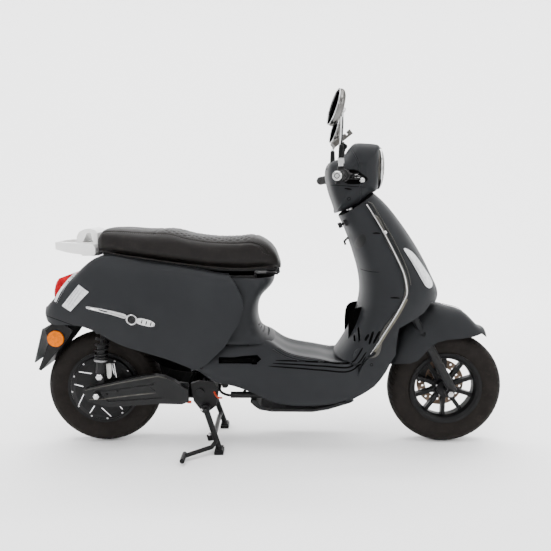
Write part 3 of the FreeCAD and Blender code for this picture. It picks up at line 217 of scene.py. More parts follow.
# ------------------------------------------------------------------ mesh helpers
def build(name, verts, faces, mat, body="chassis", slot=None, auto=None):
    """A smooth piece riding on a body; edges sharper than auto degrees stay crisp."""
    data = bpy.data.meshes.new(name)
    data.from_pydata([tuple(v) for v in verts], [], faces)
    data.validate()
    data.update()
    data.materials.append(mat)
    for p in data.polygons:
        p.use_smooth = True
    obj = bpy.data.objects.new(name, data)
    bpy.context.scene.collection.objects.link(obj)
    if auto is not None:
        data.set_sharp_from_angle(angle=math.radians(auto))
    if body:
        slot = slot or USUAL_SLOT[mat]
        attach(obj, body)
    return obj


def rings_to_faces(rows, cols, close_rows=False):
    """Faces between rings of points; the last ring also joins the first if close_rows is set."""
    faces = []
    for i in range(rows if close_rows else rows - 1):
        for j in range(cols):
            a = i * cols + j
            b = i * cols + (j + 1) % cols
            c = ((i + 1) % rows) * cols + (j + 1) % cols
            d = ((i + 1) % rows) * cols + j
            faces.append((a, b, c, d))
    return faces


def capped(rows, cols):
    """Faces between rings of points, with a face over each end."""
    ends = [tuple(range(cols))[::-1], tuple((rows - 1) * cols + j for j in range(cols))]
    return rings_to_faces(rows, cols) + ends


def frame_axes(direction):
    """A unit vector along the direction and two across it."""
    d = Vector(direction).normalized()
    side = d.cross(Vector((0, 0, 1)))
    if side.length < 0.01:
        side = d.cross(Vector((1, 0, 0)))
    side.normalize()
    return d, side, d.cross(side).normalized()


def lathe(centre, axis, profile, steps=48, wobble=None):
    """Vertices and faces of a profile of (along, radius) in metres turned about an axis; ends are closed."""
    d, u, v = frame_axes(axis)
    centre = Vector(centre)
    verts = []
    for along, radius in profile:
        for k in range(steps):
            a = 2 * math.pi * k / steps
            r = radius * (1 + (wobble(along, a) if wobble else 0))
            verts.append(centre + d * along + u * (r * math.cos(a)) + v * (r * math.sin(a)))
    return verts, capped(len(profile), steps)


def turned(name, centre, axis, profile, mat, body="chassis", slot=None, steps=48, auto=35, wobble=None):
    """A turned piece."""
    verts, faces = lathe(centre, axis, profile, steps, wobble)
    return build(name, verts, faces, mat, body, slot, auto)


def hoop(name, centre, axis, section, mat, body, steps=64, auto=None):
    """A ring: a closed section of (along, radius) turned about an axis."""
    faces = rings_to_faces(len(section), steps, close_rows=True)
    return build(name, lathe(centre, axis, section, steps)[0], faces, mat, body, auto=auto)


def smooth_line(points, per=8):
    """A Catmull-Rom line through the points."""
    points = [Vector(p) for p in points]
    ends = [points[0] * 2 - points[1]] + points + [points[-1] * 2 - points[-2]]
    out = []
    for i in range(1, len(ends) - 2):
        p0, p1, p2, p3 = ends[i - 1:i + 3]
        for k in range(per):
            t = k / per
            out.append(0.5 * ((2 * p1) + (p2 - p0) * t + (2 * p0 - 5 * p1 + 4 * p2 - p3) * t * t
                              + (3 * p1 - p0 - 3 * p2 + p3) * t ** 3))
    out.append(points[-1])
    return out


def tube(points, radius, sides=10):
    """Vertices and faces of a round bar along a line, with closed ends."""
    verts = []
    last = None
    n = len(points)
    for i, p in enumerate(points):
        d = (points[min(i + 1, n - 1)] - points[max(i - 1, 0)]).normalized()
        if last is None:
            last = frame_axes(d)[1]
        u = (last - d * last.dot(d)).normalized()
        last = u
        v = d.cross(u)
        for k in range(sides):
            a = 2 * math.pi * k / sides
            verts.append(p + u * (radius * math.cos(a)) + v * (radius * math.sin(a)))
    return verts, capped(n, sides)


def cable(name, points, radius, mat, body, slot=None, sides=10, per=8):
    """A round lead through points given in mm."""
    verts, faces = tube(smooth_line([Vector(p) * MM for p in points], per), radius * MM, sides)
    return build(name, verts, faces, mat, body, slot, auto=60)


def join_parts(name, parts, mat, body="chassis", slot=None, auto=35):
    """One piece from several lists of (vertices, faces)."""
    verts = []
    faces = []
    for vs, fs in parts:
        start = len(verts)
        verts += list(vs)
        faces += [tuple(i + start for i in f) for f in fs]
    return build(name, verts, faces, mat, body, slot, auto)


def screw_head(centre, axis, r, h):
    """A domed screw head with a round socket sunk in it."""
    profile = [(-0.5 * h, r), (0.45 * h, r), (0.8 * h, r * 0.86), (h, r * 0.58), (h, r * 0.44),
               (0.35 * h, r * 0.40), (0.33 * h, r * 0.02)]
    return lathe(centre, axis, profile, 18)


def hit(names, x, z, side):
    """Where a line across the scooter first meets one of the nodes: (point, outward normal)."""
    best = None
    for name in names:
        ok, loc, normal, _ = nodes[name].ray_cast(Vector((x * MM, side, z * MM)), Vector((0, -side, 0)))
        if ok and (best is None or abs(loc.y) > abs(best[0].y)):
            if normal.y * side < 0:
                normal = -normal
            best = (loc.copy(), normal.copy())
    return best


FLAT_BAR = [(-0.5, -0.35), (-0.46, 0.75), (-0.34, 1.0), (0.34, 1.0), (0.46, 0.75), (0.5, -0.35)]
ROUND = [(-0.5, -0.6), (-0.38, 0.55), (0.0, 1.0), (0.38, 0.55), (0.5, -0.6)]
STRIP_STEPS = 6


def ribbon(name, on, path, width, height, mat, side, body="chassis", slot=None, ends=0.4, profile=FLAT_BAR,
           lift=0.0, steady=0, grow=(1.0, 1.0)):
    """A strip laid over body surfaces along a side-view line of (x, z), as wide and high as given in mm.

    It follows the surface point by point, or keeps level across and averages over steady rows along it.
    """
    line = smooth_line([Vector((x, 0, z)) for x, z in path], STRIP_STEPS)
    if steady:
        level = [hit(on, p.x, p.z, side) for p in line]
        line = [p for p, f in zip(line, level) if f]
        level = [abs(f[0].y) for f in level if f]
    verts = []
    rows = 0
    last = len(line) - 1
    for i, p in enumerate(line):
        d = (line[min(i + 1, last)] - line[max(i - 1, 0)]).normalized()
        across = Vector((-d.z, 0, d.x))
        if steady:
            near = level[max(0, i - steady):i + steady + 1]
            out = 0.5 * (max(near) + sum(near) / len(near))
            for s, h in profile:
                q = p + across * (s * width)
                verts.append(Vector((q.x * MM, side * (out + (h * height + lift) * MM), q.z * MM)))
            rows += 1
            continue
        t = min(1.0, min(i, last - i) / max(1.0, ends * STRIP_STEPS))
        w = width * (0.35 + 0.65 * math.sqrt(t))
        w *= grow[0] + (grow[1] - grow[0]) * i / last
        found = hit(on, p.x, p.z, side)
        if not found:
            continue
        for s, h in profile:
            q = p + across * (s * w)
            f = hit(on, q.x, q.z, side) or found
            if (f[0] - found[0]).length > (abs(s) * w + 6) * MM * 2:
                f = found
            verts.append(f[0] + f[1] * ((h * height + lift) * MM))
        rows += 1
    if rows < 3:
        return None
    return build(name, verts, capped(rows, len(profile)), mat, body, slot, auto=40)


def closed_loop(outline, per):
    """A smooth closed side-view line of (x, z), and its middle."""
    loop = smooth_line([Vector((x, 0, z)) for x, z in outline + outline[:1]], per)[:-1]
    return loop, sum(loop, Vector()) / len(loop)


def patch(name, on, outline, height, mat, side, body="chassis"):
    """A raised panel over a body surface, bounded by a side-view outline of (x, z)."""
    loop, centre = closed_loop(outline, 6)
    steps = [(1.0, -0.6), (1.0, 0.55), (0.94, 1.0), (0.6, 1.0), (0.25, 1.0)]
    verts = []
    for s, h in steps:
        for p in loop:
            q = centre + (p - centre) * s
            f = hit(on, q.x, q.z, side) or hit(on, centre.x, centre.z, side)
            if not f:
                return None
            verts.append(f[0] + f[1] * (h * height * MM))
    n = len(loop)
    faces = rings_to_faces(len(steps), n)
    faces.append(tuple((len(steps) - 1) * n + j for j in range(n)))
    return build(name, verts, faces, mat, body, auto=40)


def slab(name, outline, y_in, y_out, mat, body="chassis", edge=1.2):
    """A plate cut to a side-view outline of (x, z) between two distances from the middle, with eased edges."""
    loop, centre = closed_loop(outline, 5)
    verts = []
    ease = edge * (1 if y_out > y_in else -1)
    for y, inset in ((y_in, edge), (y_in + ease, 0.0), (y_out - ease, 0.0), (y_out, edge)):
        for p in loop:
            q = p + (centre - p).normalized() * inset
            verts.append(Vector((q.x, y, q.z)) * MM)
    return build(name, verts, capped(4, len(loop)), mat, body, auto=40)


# ------------------------------------------------------------------ seat
# distance along, lower edge, crown, half width
SEAT = [
    (-624, 740, 806, 92), (-612, 743, 820, 108), (-600, 744, 828, 118), (-570, 739, 830, 128),
    (-535, 732, 830, 134), (-464, 723, 825, 142), (-364, 708, 823, 143), (-288, 698, 805, 141),
    (-200, 688, 795, 138), (-120, 683, 796, 132), (-60, 684, 801, 124), (-12, 686, 779, 110),
    (18, 684, 745, 88), (34, 681, 702, 58),
]
SIDE_POWER, CROWN_POWER = 0.56, 0.70
QUILT = 27.0


def seat_row(x):
    """Lower edge, crown and half width of the seat at a distance along it."""
    if x <= SEAT[0][0]:
        return SEAT[0][1:]
    for i, (a, b) in enumerate(zip(SEAT, SEAT[1:])):
        if x <= b[0]:
            before = SEAT[max(i - 1, 0)]
            after = SEAT[min(i + 2, len(SEAT) - 1)]
            span = b[0] - a[0]
            t = (x - a[0]) / span
            out = []
            for k in (1, 2, 3):
                ma = (b[k] - before[k]) / (b[0] - before[0]) * span
                mb = (after[k] - a[k]) / (after[0] - a[0]) * span
                h = (2 * t ** 3 - 3 * t * t + 1) * a[k] + (t ** 3 - 2 * t * t + t) * ma
                out.append(h + (-2 * t ** 3 + 3 * t * t) * b[k] + (t ** 3 - t * t) * mb)
            return tuple(out)
    return SEAT[-1][1:]


def seam_y(x):
    """How far the upper seam is from the middle."""
    return 118.0 - 0.00012 * (x + 240) ** 2


def seat_z(z_low, z_top, rise):
    return 0.5 * (z_top + z_low) + 0.5 * (z_top - z_low) * rise


def groove(distance, width):
    return math.exp(-(distance / width) ** 2)


def unit(value):
    return min(1.0, max(0.0, value))


def seat_relief(x, y, s):
    """How far the cover is drawn in: stitched channels on top, cross seams, the side seam and soft puckers."""
    depth = 0.0
    if s > 0.05:
        inside = unit((112 - abs(y)) / 14.0)
        front = unit((x + 400) / 16.0) * unit((-70 - x) / 16.0)
        for t in ((x + 0.62 * y) / QUILT, (x - 0.62 * y) / QUILT):
            near = abs((t + 0.5) % 1.0 - 0.5) * QUILT
            depth += 3.2 * groove(near, 3.2) * inside * front
        depth -= 2.0 * inside * front
        for edge in (-412, -60):
            depth += 3.4 * groove(x - edge, 3.4) * unit((126 - abs(y)) / 10.0)
        if -600 < x < 0:
            depth += 3.6 * groove(abs(y) - seam_y(x), 3.0)
    if abs(s) < 0.9:
        wave = math.sin(x * 0.21) * 0.5 + math.sin(x * 0.083 + 1.3) * 0.8
        depth += 0.5 * wave * max(0.0, 0.5 - abs(s - 0.55))
    return depth


def seat_cover():
    """The cushion's cover: rounded cross sections, closed at both ends by two sunk rings."""
    back, front = SEAT[0][0], float(SEAT[-1][0])
    xs = []
    x = float(back)
    while x < front:
        xs.append(x)
        x += 3.4 if x < -596 or x > 0 else 4.4
    xs.append(front)
    around = 112
    verts = []
    for x in xs:
        z_low, z_top, half = seat_row(x)
        z_low += 0.5
        for i in range(around):
            angle = 2 * math.pi * i / around
            c, s = math.cos(angle), math.sin(angle)
            y = half * math.copysign(abs(c) ** SIDE_POWER, c)
            z = seat_z(z_low, z_top, math.copysign(abs(s) ** CROWN_POWER, s))
            n = Vector((0, c * abs(c) ** 0.2, s)).normalized()
            d = seat_relief(x, y, s)
            if s < -0.05:
                z = max(z, z_low)
            verts.append(Vector((x, y - n.y * d, z - n.z * d)) * MM)
    rows = len(xs)
    faces = [f[::-1] for f in rings_to_faces(rows, around)]
    for base, turn, push, peak in ((0, 1, -3.0, -4.0), ((rows - 1) * around, -1, 1.0, 1.4)):
        ring = [base + k for k in range(around)]
        centre = sum((verts[i] for i in ring), Vector()) / around
        inner = []
        for i in ring:
            verts.append(centre + (verts[i] - centre) * 0.5 + Vector((push, 0, 0)) * MM)
            inner.append(len(verts) - 1)
        for k in range(around):
            quad = (ring[k], ring[(k + 1) % around], inner[(k + 1) % around], inner[k])
            faces.append(quad[::turn])
        verts.append(centre + Vector((peak, 0, 0)) * MM)
        for k in range(around):
            tri = (inner[k], inner[(k + 1) % around], len(verts) - 1)
            faces.append(tri[::turn])
    obj = build("seat_cover", verts, faces, LEATHER, "seat")
    sub = obj.modifiers.new("form", "SUBSURF")
    sub.levels = 1
    sub.render_levels = 1
    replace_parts(obj, "seat_cushion")


def seat_trim():
    """Piping round the lower edge and short stitches along the upper seam."""
    stitch, pitch, beside = 4.6, 7.4, 4.6
    for side, tag in SIDES:
        pts = []
        for i in range(34):
            x = -606 + i * 18.6
            z_low, _, half = seat_row(x)
            pts.append((x, (half - 3.0) * side, z_low + 7.5))
        cable("seat_piping_" + tag, pts, 3.0, LEATHER, "seat", sides=8, per=4)
        stitches = []
        x = -590.0
        while x < -8:
            for off in (-beside, beside):
                ends = []
                for dx in (0.0, stitch):
                    z_low, z_top, half = seat_row(x + dx)
                    y = seam_y(x) + off
                    c = min(0.999, (y / half)) ** (1 / SIDE_POWER)
                    s = math.sqrt(max(0.0, 1 - c * c))
                    z = seat_z(z_low, z_top, s ** CROWN_POWER)
                    ends.append(Vector((x + dx, y * side, z - 1.0 + 0.2)) * MM)
                middle = (ends[0] + ends[1]) * 0.5 + Vector((0, 0, 0.0005))
                stitches.append(tube([ends[0], middle, ends[1]], 0.55 * MM, 6))
            x += pitch
        join_parts("seat_stitches_" + tag, stitches, THREAD, "seat", auto=60)


seat_cover()
seat_trim()


# ------------------------------------------------------------------ tyres
# (distance from the middle, radius): half of the outside from bead to crown, and the inside
TYRE_OUTSIDE = [(-30, 128), (-33, 138), (-41, 156), (-45, 176), (-42, 194), (-31, 208), (-15, 215.2), (0, 216.8)]
TYRE_INSIDE = [(24, 141), (29, 176), (20, 198), (0, 202), (-20, 198), (-29, 176), (-24, 141)]
TREAD_BLOCKS = 30
TREAD_FROM = 188


def tread_depth(theta, y):
    """How deep the tread pattern cuts at an angle and a distance from the middle."""
    s = abs(y)
    u = theta * TREAD_BLOCKS / (2 * math.pi)
    depth = 0.0
    if s < 14:
        wave = 5.0 * (abs((u % 1.0) - 0.5) * 4 - 1)
        depth = 3.4 * max(0.0, 1 - (abs(y - wave) / 2.6) ** 4)
    if 12 < s < 40:
        slant = (u * 2 + (s - 12) * 0.028 + (0.5 if y > 0 else 0.0)) % 1.0
        fade = min(1.0, (s - 12) / 3.0) * unit((40 - s) / 4.0)
        depth = max(depth, 3.6 * fade * max(0.0, 1 - (abs(slant - 0.5) / 0.10) ** 4))
    if abs(s - 27.0) < 1.6:
        depth = max(depth, 1.6)
    return depth


def wall_relief(theta, r):
    """How far two fine ribs and a band of fluting stand out of the side wall."""
    rise = 0.8 * max(0.0, 1 - abs(r - 170) / 2.4) + 0.5 * max(0.0, 1 - abs(r - 158) / 1.6)
    return rise + 0.35 * (0.5 + 0.5 * math.sin(theta * 120)) * (1.0 if 160 < r < 167 else 0.0)


def tyre(name, centre, node, body):
    """A tyre with its tread cut into the mesh."""
    half_line = smooth_line([Vector((y, 0, r)) for y, r in TYRE_OUTSIDE], 5)
    line = [(p.x, p.z) for p in half_line] + [(-p.x, p.z) for p in half_line[:-1][::-1]]
    steps = 432
    verts = []
    for k in range(steps):
        t = 2 * math.pi * k / steps
        section = []
        for y, r in line:
            out = abs(y)
            if r > TREAD_FROM:
                cut = tread_depth(t, y)
                r -= 0.9 * cut
                out -= 0.5 * cut if out > 30 else 0.0
            elif 150 < r < 184:
                out = min(45.2, out + 0.8 * wall_relief(t, r))
            section.append((math.copysign(out, y), r))
        for y, r in section + TYRE_INSIDE:
            verts.append(Vector((centre[0] + r * math.sin(t), y, centre[1] + r * math.cos(t))) * MM)
    faces = rings_to_faces(steps, len(line) + len(TYRE_INSIDE), close_rows=True)
    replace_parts(build(name, verts, faces, RUBBER, body, auto=42), node)


FRONT = (664.0, 217.0)
REAR = (-640.0, 221.0)
tyre("tyre_front", FRONT, "front_tyre", "front_wheel")
tyre("tyre_rear", REAR, "rear_tyre", "rear_wheel")


# ------------------------------------------------------------------ hub and wheel details
def spot(centre, r, degrees, y):
    """A point on a wheel face from a radius and an angle."""
    a = math.radians(degrees)
    return Vector((centre[0] + r * math.cos(a), y, centre[1] + r * math.sin(a))) * MM


def blade(centre, r0, r1, a0, sweep, w0, w1, y, rise):
    """A straight raised bar on a wheel face from one radius and angle to another."""
    start = spot(centre, r0, a0, y) / MM
    end = spot(centre, r1, a0 + sweep, y) / MM
    along = (end - start).normalized()
    across = Vector((-along.z, 0, along.x))
    out = -1 if y < 0 else 1
    verts = []
    n = 8
    for k in range(n + 1):
        t = k / n
        p = start + (end - start) * t
        w = w0 + (w1 - w0) * t
        for u, h in ((-0.5, 0.0), (-0.42, 1.0), (0.42, 1.0), (0.5, 0.0)):
            verts.append(Vector((p.x + across.x * w * u, y + rise * h * out, p.z + across.z * w * u)) * MM)
    ends = [(0, 1, 2, 3), tuple(n * 4 + j for j in (3, 2, 1, 0))]
    return verts, rings_to_faces(n + 1, 4) + ends


def hub_face(side, tag):
    """Five pairs of bright slashes, a ring of screws and a raised ring on the hub motor's open side."""
    def face_y(r):
        p = spot(REAR, r, 10, 0) / MM
        return hit(["hub_motor"], p.x, p.z, side)[0].y / MM

    y = face_y(88)
    slashes = []
    for k in range(5):
        slashes.append(blade(REAR, 64, 107, 244 + 72 * k, -3, 5.0, 3.4, y, 1.8))
        slashes.append(blade(REAR, 62, 110, 252 + 72 * k, 33, 5.0, 3.2, y, 1.8))
    join_parts("hub_slashes_" + tag, slashes, POLISH, "rear_wheel")
    screw_y = face_y(119)
    screws = [screw_head(spot(REAR, 118, 30 * k + 6, screw_y), (0, side, 0), 4.0 * MM, 3.0 * MM) for k in range(12)]
    join_parts("hub_screws_" + tag, screws, BRIGHT, "rear_wheel")
    ring = [(0.0, 0.060), (0.0022, 0.0595), (0.0022, 0.054), (0.0, 0.0535)]
    hoop("hub_ring_" + tag, (REAR[0] * MM, y * MM, REAR[1] * MM), (0, side, 0), ring, ARM_BLACK, "rear_wheel", auto=30)


def wheel_bolts():
    """Screws round the front hub and a nut on each axle end."""
    parts = []
    for k in range(5):
        parts.append(screw_head(spot(FRONT, 34, 72 * k + 18, -26), (0, -1, 0), 4.5 * MM, 5 * MM))
    join_parts("front_hub_bolts", parts, BRIGHT, "front_wheel")
    nut = [(-0.004, 0.0115), (0.004, 0.0115), (0.006, 0.0085), (0.007, 0.006), (0.0072, 0.0006)]
    for centre, body, tag, y in ((FRONT, "front_suspension", "front", 98.0), (REAR, "rear_arm", "rear", 134.0)):
        nuts = [lathe(Vector((centre[0], y * side, centre[1])) * MM, (0, side, 0), nut, 6) for side in (-1, 1)]
        join_parts("axle_nuts_" + tag, nuts, BRIGHT, body, auto=20)


hub_face(-1, "right")
wheel_bolts()


# ------------------------------------------------------------------ shock springs
def helix(a, b, radius, wire, turns, per_turn=22):
    """A coil between two points, with its end turns closed up."""
    d, u, v = frame_axes(b - a)
    length = (b - a).length
    n = int(turns * per_turn)
    line = []
    for i in range(n + 1):
        t = i / n
        along = length * unit(t - 0.035 * math.sin(2 * math.pi * t))
        angle = 2 * math.pi * turns * t
        line.append(a + d * along + u * (radius * math.cos(angle)) + v * (radius * math.sin(angle)))
    return tube(line, wire, 10)


SHOCK_LOW = Vector((-628, 0, 292))
SHOCK_TOP = Vector((-602, 0, 560))
SHOCK_DIR = (SHOCK_TOP - SHOCK_LOW).normalized()
SHOCK_Y = 118.0


def shock_point(t, y):
    """A point t mm up the shock's axis."""
    p = SHOCK_LOW + SHOCK_DIR * t
    return Vector((p.x, y, p.z)) * MM


def shock_details():
    """The spring, its seats, a plain plate, the reservoir's rod and the nuts of each shock."""
    collar = [(-0.004, 0.0205), (-0.004, 0.0245), (0.0, 0.026), (0.004, 0.0245), (0.004, 0.0205)]
    cap = [(-0.010, 0.0195), (-0.010, 0.0235), (-0.002, 0.0245), (0.004, 0.0225), (0.014, 0.0195), (0.020, 0.0120)]
    nut = [(-0.001, 0.0125), (0.004, 0.0125), (0.006, 0.010), (0.0075, 0.006), (0.0078, 0.0006)]
    plate = [(-606, 337), (-588, 335), (-589, 288), (-603, 286)]
    for side, tag in SIDES:
        y = SHOCK_Y * side
        verts, faces = helix(shock_point(70, y), shock_point(226, y), 21.5 * MM, 3.7 * MM, 8.2)
        coil = build("shock_spring_" + tag, verts, faces, STEEL_BLACK, "shock_top", auto=60)
        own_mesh(coil)
        turned("shock_collar_" + tag, shock_point(63, y), SHOCK_DIR, collar, ALLOY, "shock_foot", steps=24, auto=None)
        slab("shock_plate_" + tag, plate, 108 * side, 112 * side, LABEL, "shock_foot")
        rod = [(-577, 110 * side, 338), (-574, 111 * side, 312), (-570, 110 * side, 286)]
        cable("shock_rod_" + tag, rod, 2.2, BRIGHT, "shock_foot")
        turned("shock_cap_" + tag, shock_point(240, y), SHOCK_DIR, cap, ARM_BLACK, "shock_top", "black_steel", 28, None)
        for name, at, out, body in (("top", SHOCK_TOP, 132.0, "chassis"), ("low", SHOCK_LOW, 127.2, "shock_foot")):
            turned("shock_nut_%s_%s" % (name, tag), Vector((at.x, out * side, at.z)) * MM, (0, side, 0), nut, BRIGHT,
                   body, steps=6, auto=20)


shock_details()


# ------------------------------------------------------------------ body slots, grooves and badges
BODYWORK = ["floorboard", "legshield_inner", "column_cover", "front_apron", "cowl_right", "cowl_left"]


def body_lines():
    """Near-black strips and dishes painting the shade in the grooves along the floor edge, in the slots in the shield
    and column, and in the sunk screws.
    """
    grooves = [
        [(14, 362), (90, 357), (180, 350), (262, 344), (293, 357), (311, 381), (326, 408)],
        [(4, 352), (90, 346), (180, 339), (266, 333), (308, 352), (338, 395)],
        [(-12, 342), (90, 334), (180, 326), (266, 320), (313, 342), (336, 379)],
    ]
    slots = [[(346, 457), (340, 445), (334, 433)], [(361, 470), (354, 447), (347, 423)],
             [(383, 475), (372, 451), (361, 427)]]
    sunk = [(-0.002, 0.0055), (0.0008, 0.0055), (0.0008, 0.0042), (-0.0012, 0.004), (-0.0012, 0.0003)]
    for side, tag in SIDES:
        for k, row in enumerate(grooves):
            ribbon("floor_groove_%s_%d" % (tag, k), BODYWORK, row, 4.6, 0.5, SHADE_AND_SEAM_BLACK, side)
        for k, row in enumerate(slots):
            ribbon("shield_slot_%s_%d" % (tag, k), BODYWORK, row, 7.5, 0.6, SHADE_AND_SEAM_BLACK, side)
        for k, (x, z) in enumerate([(-46, 509), (-37, 488), (-26, 469), (-10, 453)]):
            ribbon("column_slot_%s_%d" % (tag, k), BODYWORK, [(x, z + 11), (x + 1, z), (x + 2, z - 11)], 3.4, 0.5,
                   SHADE_AND_SEAM_BLACK, side)
        found = [hit(BODYWORK, x, z, side) for x, z in ((-85, 417), (-252, 336), (357, 348))]
        join_parts("body_screws_" + tag, [lathe(f[0], f[1], sunk, 20) for f in found if f], SHADE_AND_SEAM_BLACK)


def badge():
    """A wedge-shaped bright bar on each cowl with a round boss and a plain tag; nothing is written on it."""
    fluted = [(-0.5, -0.4), (-0.42, 0.8), (-0.15, 1.0), (0.02, 0.55), (0.18, 1.0), (0.42, 0.8), (0.5, -0.4)]
    bar = [(-656, 556), (-640, 553), (-600, 546), (-556, 537), (-508, 524)]
    boss = [(-0.001, 0.0205), (0.0040, 0.0200), (0.0054, 0.0180), (0.0040, 0.0158), (0.0030, 0.0002)]
    core = [(0.002, 0.0154), (0.0050, 0.0142), (0.0056, 0.0110), (0.0044, 0.0080), (0.0056, 0.0040), (0.0056, 0.0002)]
    for side, tag in SIDES:
        cowl = ["cowl_" + tag]
        ribbon("badge_bar_" + tag, cowl, bar, 21, 3.0, CHROME, side, ends=0.2, profile=fluted, grow=(0.40, 1.0))
        ribbon("badge_bar_slot_" + tag, cowl, [(-610, 550), (-596, 545), (-578, 541)], 6, 0.6, SHADE_AND_SEAM_BLACK, side, ends=1.4,
               lift=2.4)
        ribbon("badge_tag_" + tag, cowl, [(-478, 513), (-446, 505), (-410, 497)], 27, 2.8, CHROME, side, ends=0.5,
               profile=fluted)
        for k, (x, z) in enumerate(((-456, 508), (-440, 504), (-424, 500))):
            ribbon("badge_inlay_%s_%d" % (tag, k), cowl, [(x - 2, z - 7), (x, z), (x + 2, z + 7)], 4.0, 0.6, SHADE_AND_SEAM_BLACK,
                   side, lift=2.3)
        point, out = hit(cowl, -492, 515, side)
        turned("badge_boss_" + tag, point, out, boss, CHROME, steps=40)
        turned("badge_core_" + tag, point, out, core, BLACK, steps=36)


body_lines()
badge()


# ------------------------------------------------------------------ headlamp
LAMP_Z = 1.046


def headlamp():
    """Bowl, rim, domed smoked glass, three dark bars behind it and a bulb."""
    low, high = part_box("headlight")

    def ahead(x):
        return Vector((low.x + x, 0, LAMP_Z))

    forward = (1, 0, 0)
    bowl = [(0.002, 0.0735), (0.014, 0.073), (0.008, 0.060), (-0.010, 0.040), (-0.020, 0.020), (-0.022, 0.0004)]
    turned("lamp_bowl", ahead(0.022), forward, bowl, SATIN, "steering", steps=64)
    ring = []
    for k in range(15):
        a = math.pi * 2 * k / 14
        ring.append((0.0045 * math.cos(a), 0.0745 + 0.0032 * math.sin(a)))
    verts, _ = lathe(Vector((high.x - 0.020, 0, LAMP_Z)), forward, ring, 72)
    build("lamp_rim", verts, rings_to_faces(15, 72), CHROME, "steering")
    depth = high.x - (low.x + 0.036)
    glass = [(0.0, 0.0715), (0.004, 0.0715)]
    for i in range(1, 8):
        t = math.pi / 2 * (1 - i / 8)
        glass.append((0.004 + (depth - 0.006) * math.cos(t), 0.0712 * math.sin(t)))
    glass.append((depth - 0.002, 0.0004))
    lens = turned("lamp_glass", ahead(0.036), forward, glass, SMOKE, "steering", steps=64)
    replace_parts(lens, "headlight")
    bars = []
    for k, thickness in enumerate((0.0045, 0.0026, 0.0035)):
        z = 0.030 - 0.026 * k
        reach = math.sqrt(max(0.0, 0.066 ** 2 - z ** 2))
        ends = [ahead(0.040) + Vector((0, y, z)) for y in (-reach, 0.0, reach)]
        bars.append(tube(smooth_line(ends, 6), thickness, 12))
    join_parts("lamp_bars", bars, BLACK, "steering")
    bulb = [(0.0, 0.010), (0.006, 0.012), (0.014, 0.010), (0.019, 0.005), (0.020, 0.0004)]
    turned("lamp_bulb", ahead(0.006), forward, bulb, FROST, "steering", "clear_lens", 24)


headlamp()


# ------------------------------------------------------------------ controls
BAR_IN = Vector((262, 110, 1018))
BAR_OUT = Vector((205, 345, 1008))
GRIP_RIBS = 26


def bar_point(side, t):
    """A point along one end of the handlebar."""
    p = BAR_IN + (BAR_OUT - BAR_IN) * t
    return Vector((p.x, p.y * side, p.z)) * MM


def grips():
    """Ribbed sleeves over both grips, and the bar ends."""
    for side, node, body in ((-1, "throttle_grip", "throttle"), (1, "grip_left", "steering")):
        a, b = bar_point(side, 0.50), bar_point(side, 0.98)
        length = (b - a).length
        profile = [(0.0, 0.0114), (0.0, 0.0195), (0.004, 0.0200), (0.007, 0.0180)]
        step = (length - 0.014) / GRIP_RIBS
        for i in range(GRIP_RIBS):
            t = 0.009 + (length - 0.014) * i / GRIP_RIBS
            profile += [(t, 0.0152), (t + 0.25 * step, 0.0168), (t + 0.7 * step, 0.0168), (t + 0.8 * step, 0.0152)]
        profile += [(length - 0.003, 0.0176), (length, 0.0165), (length, 0.0114)]
        sleeve = turned(node + "_sleeve", a, b - a, profile, GRIP, body, steps=40, auto=40,
                        wobble=lambda along, angle: 0.012 * math.cos(8 * angle))
        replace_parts(sleeve, node)
    cap = [(-0.001, 0.0152), (0.003, 0.0158), (0.008, 0.0150), (0.0105, 0.0118), (0.011, 0.0002)]
    core = [(0.0, 0.0085), (0.0112, 0.0085), (0.0118, 0.0072), (0.0104, 0.0060), (0.0104, 0.0003)]
    for side, tag in SIDES:
        a = bar_point(side, 0.985)
        d = (bar_point(side, 1.02) - a).normalized()
        turned("bar_end_" + tag, a, d, cap, CHROME, "steering", steps=36)
        turned("bar_core_" + tag, a, d, core, ARM_BLACK, "steering", "black_plastic", 24)


MIRROR_FOOT_X, MIRROR_FOOT_Y = 238.0, 150.0
LEFT_MIRROR_TURN = math.radians(-22)


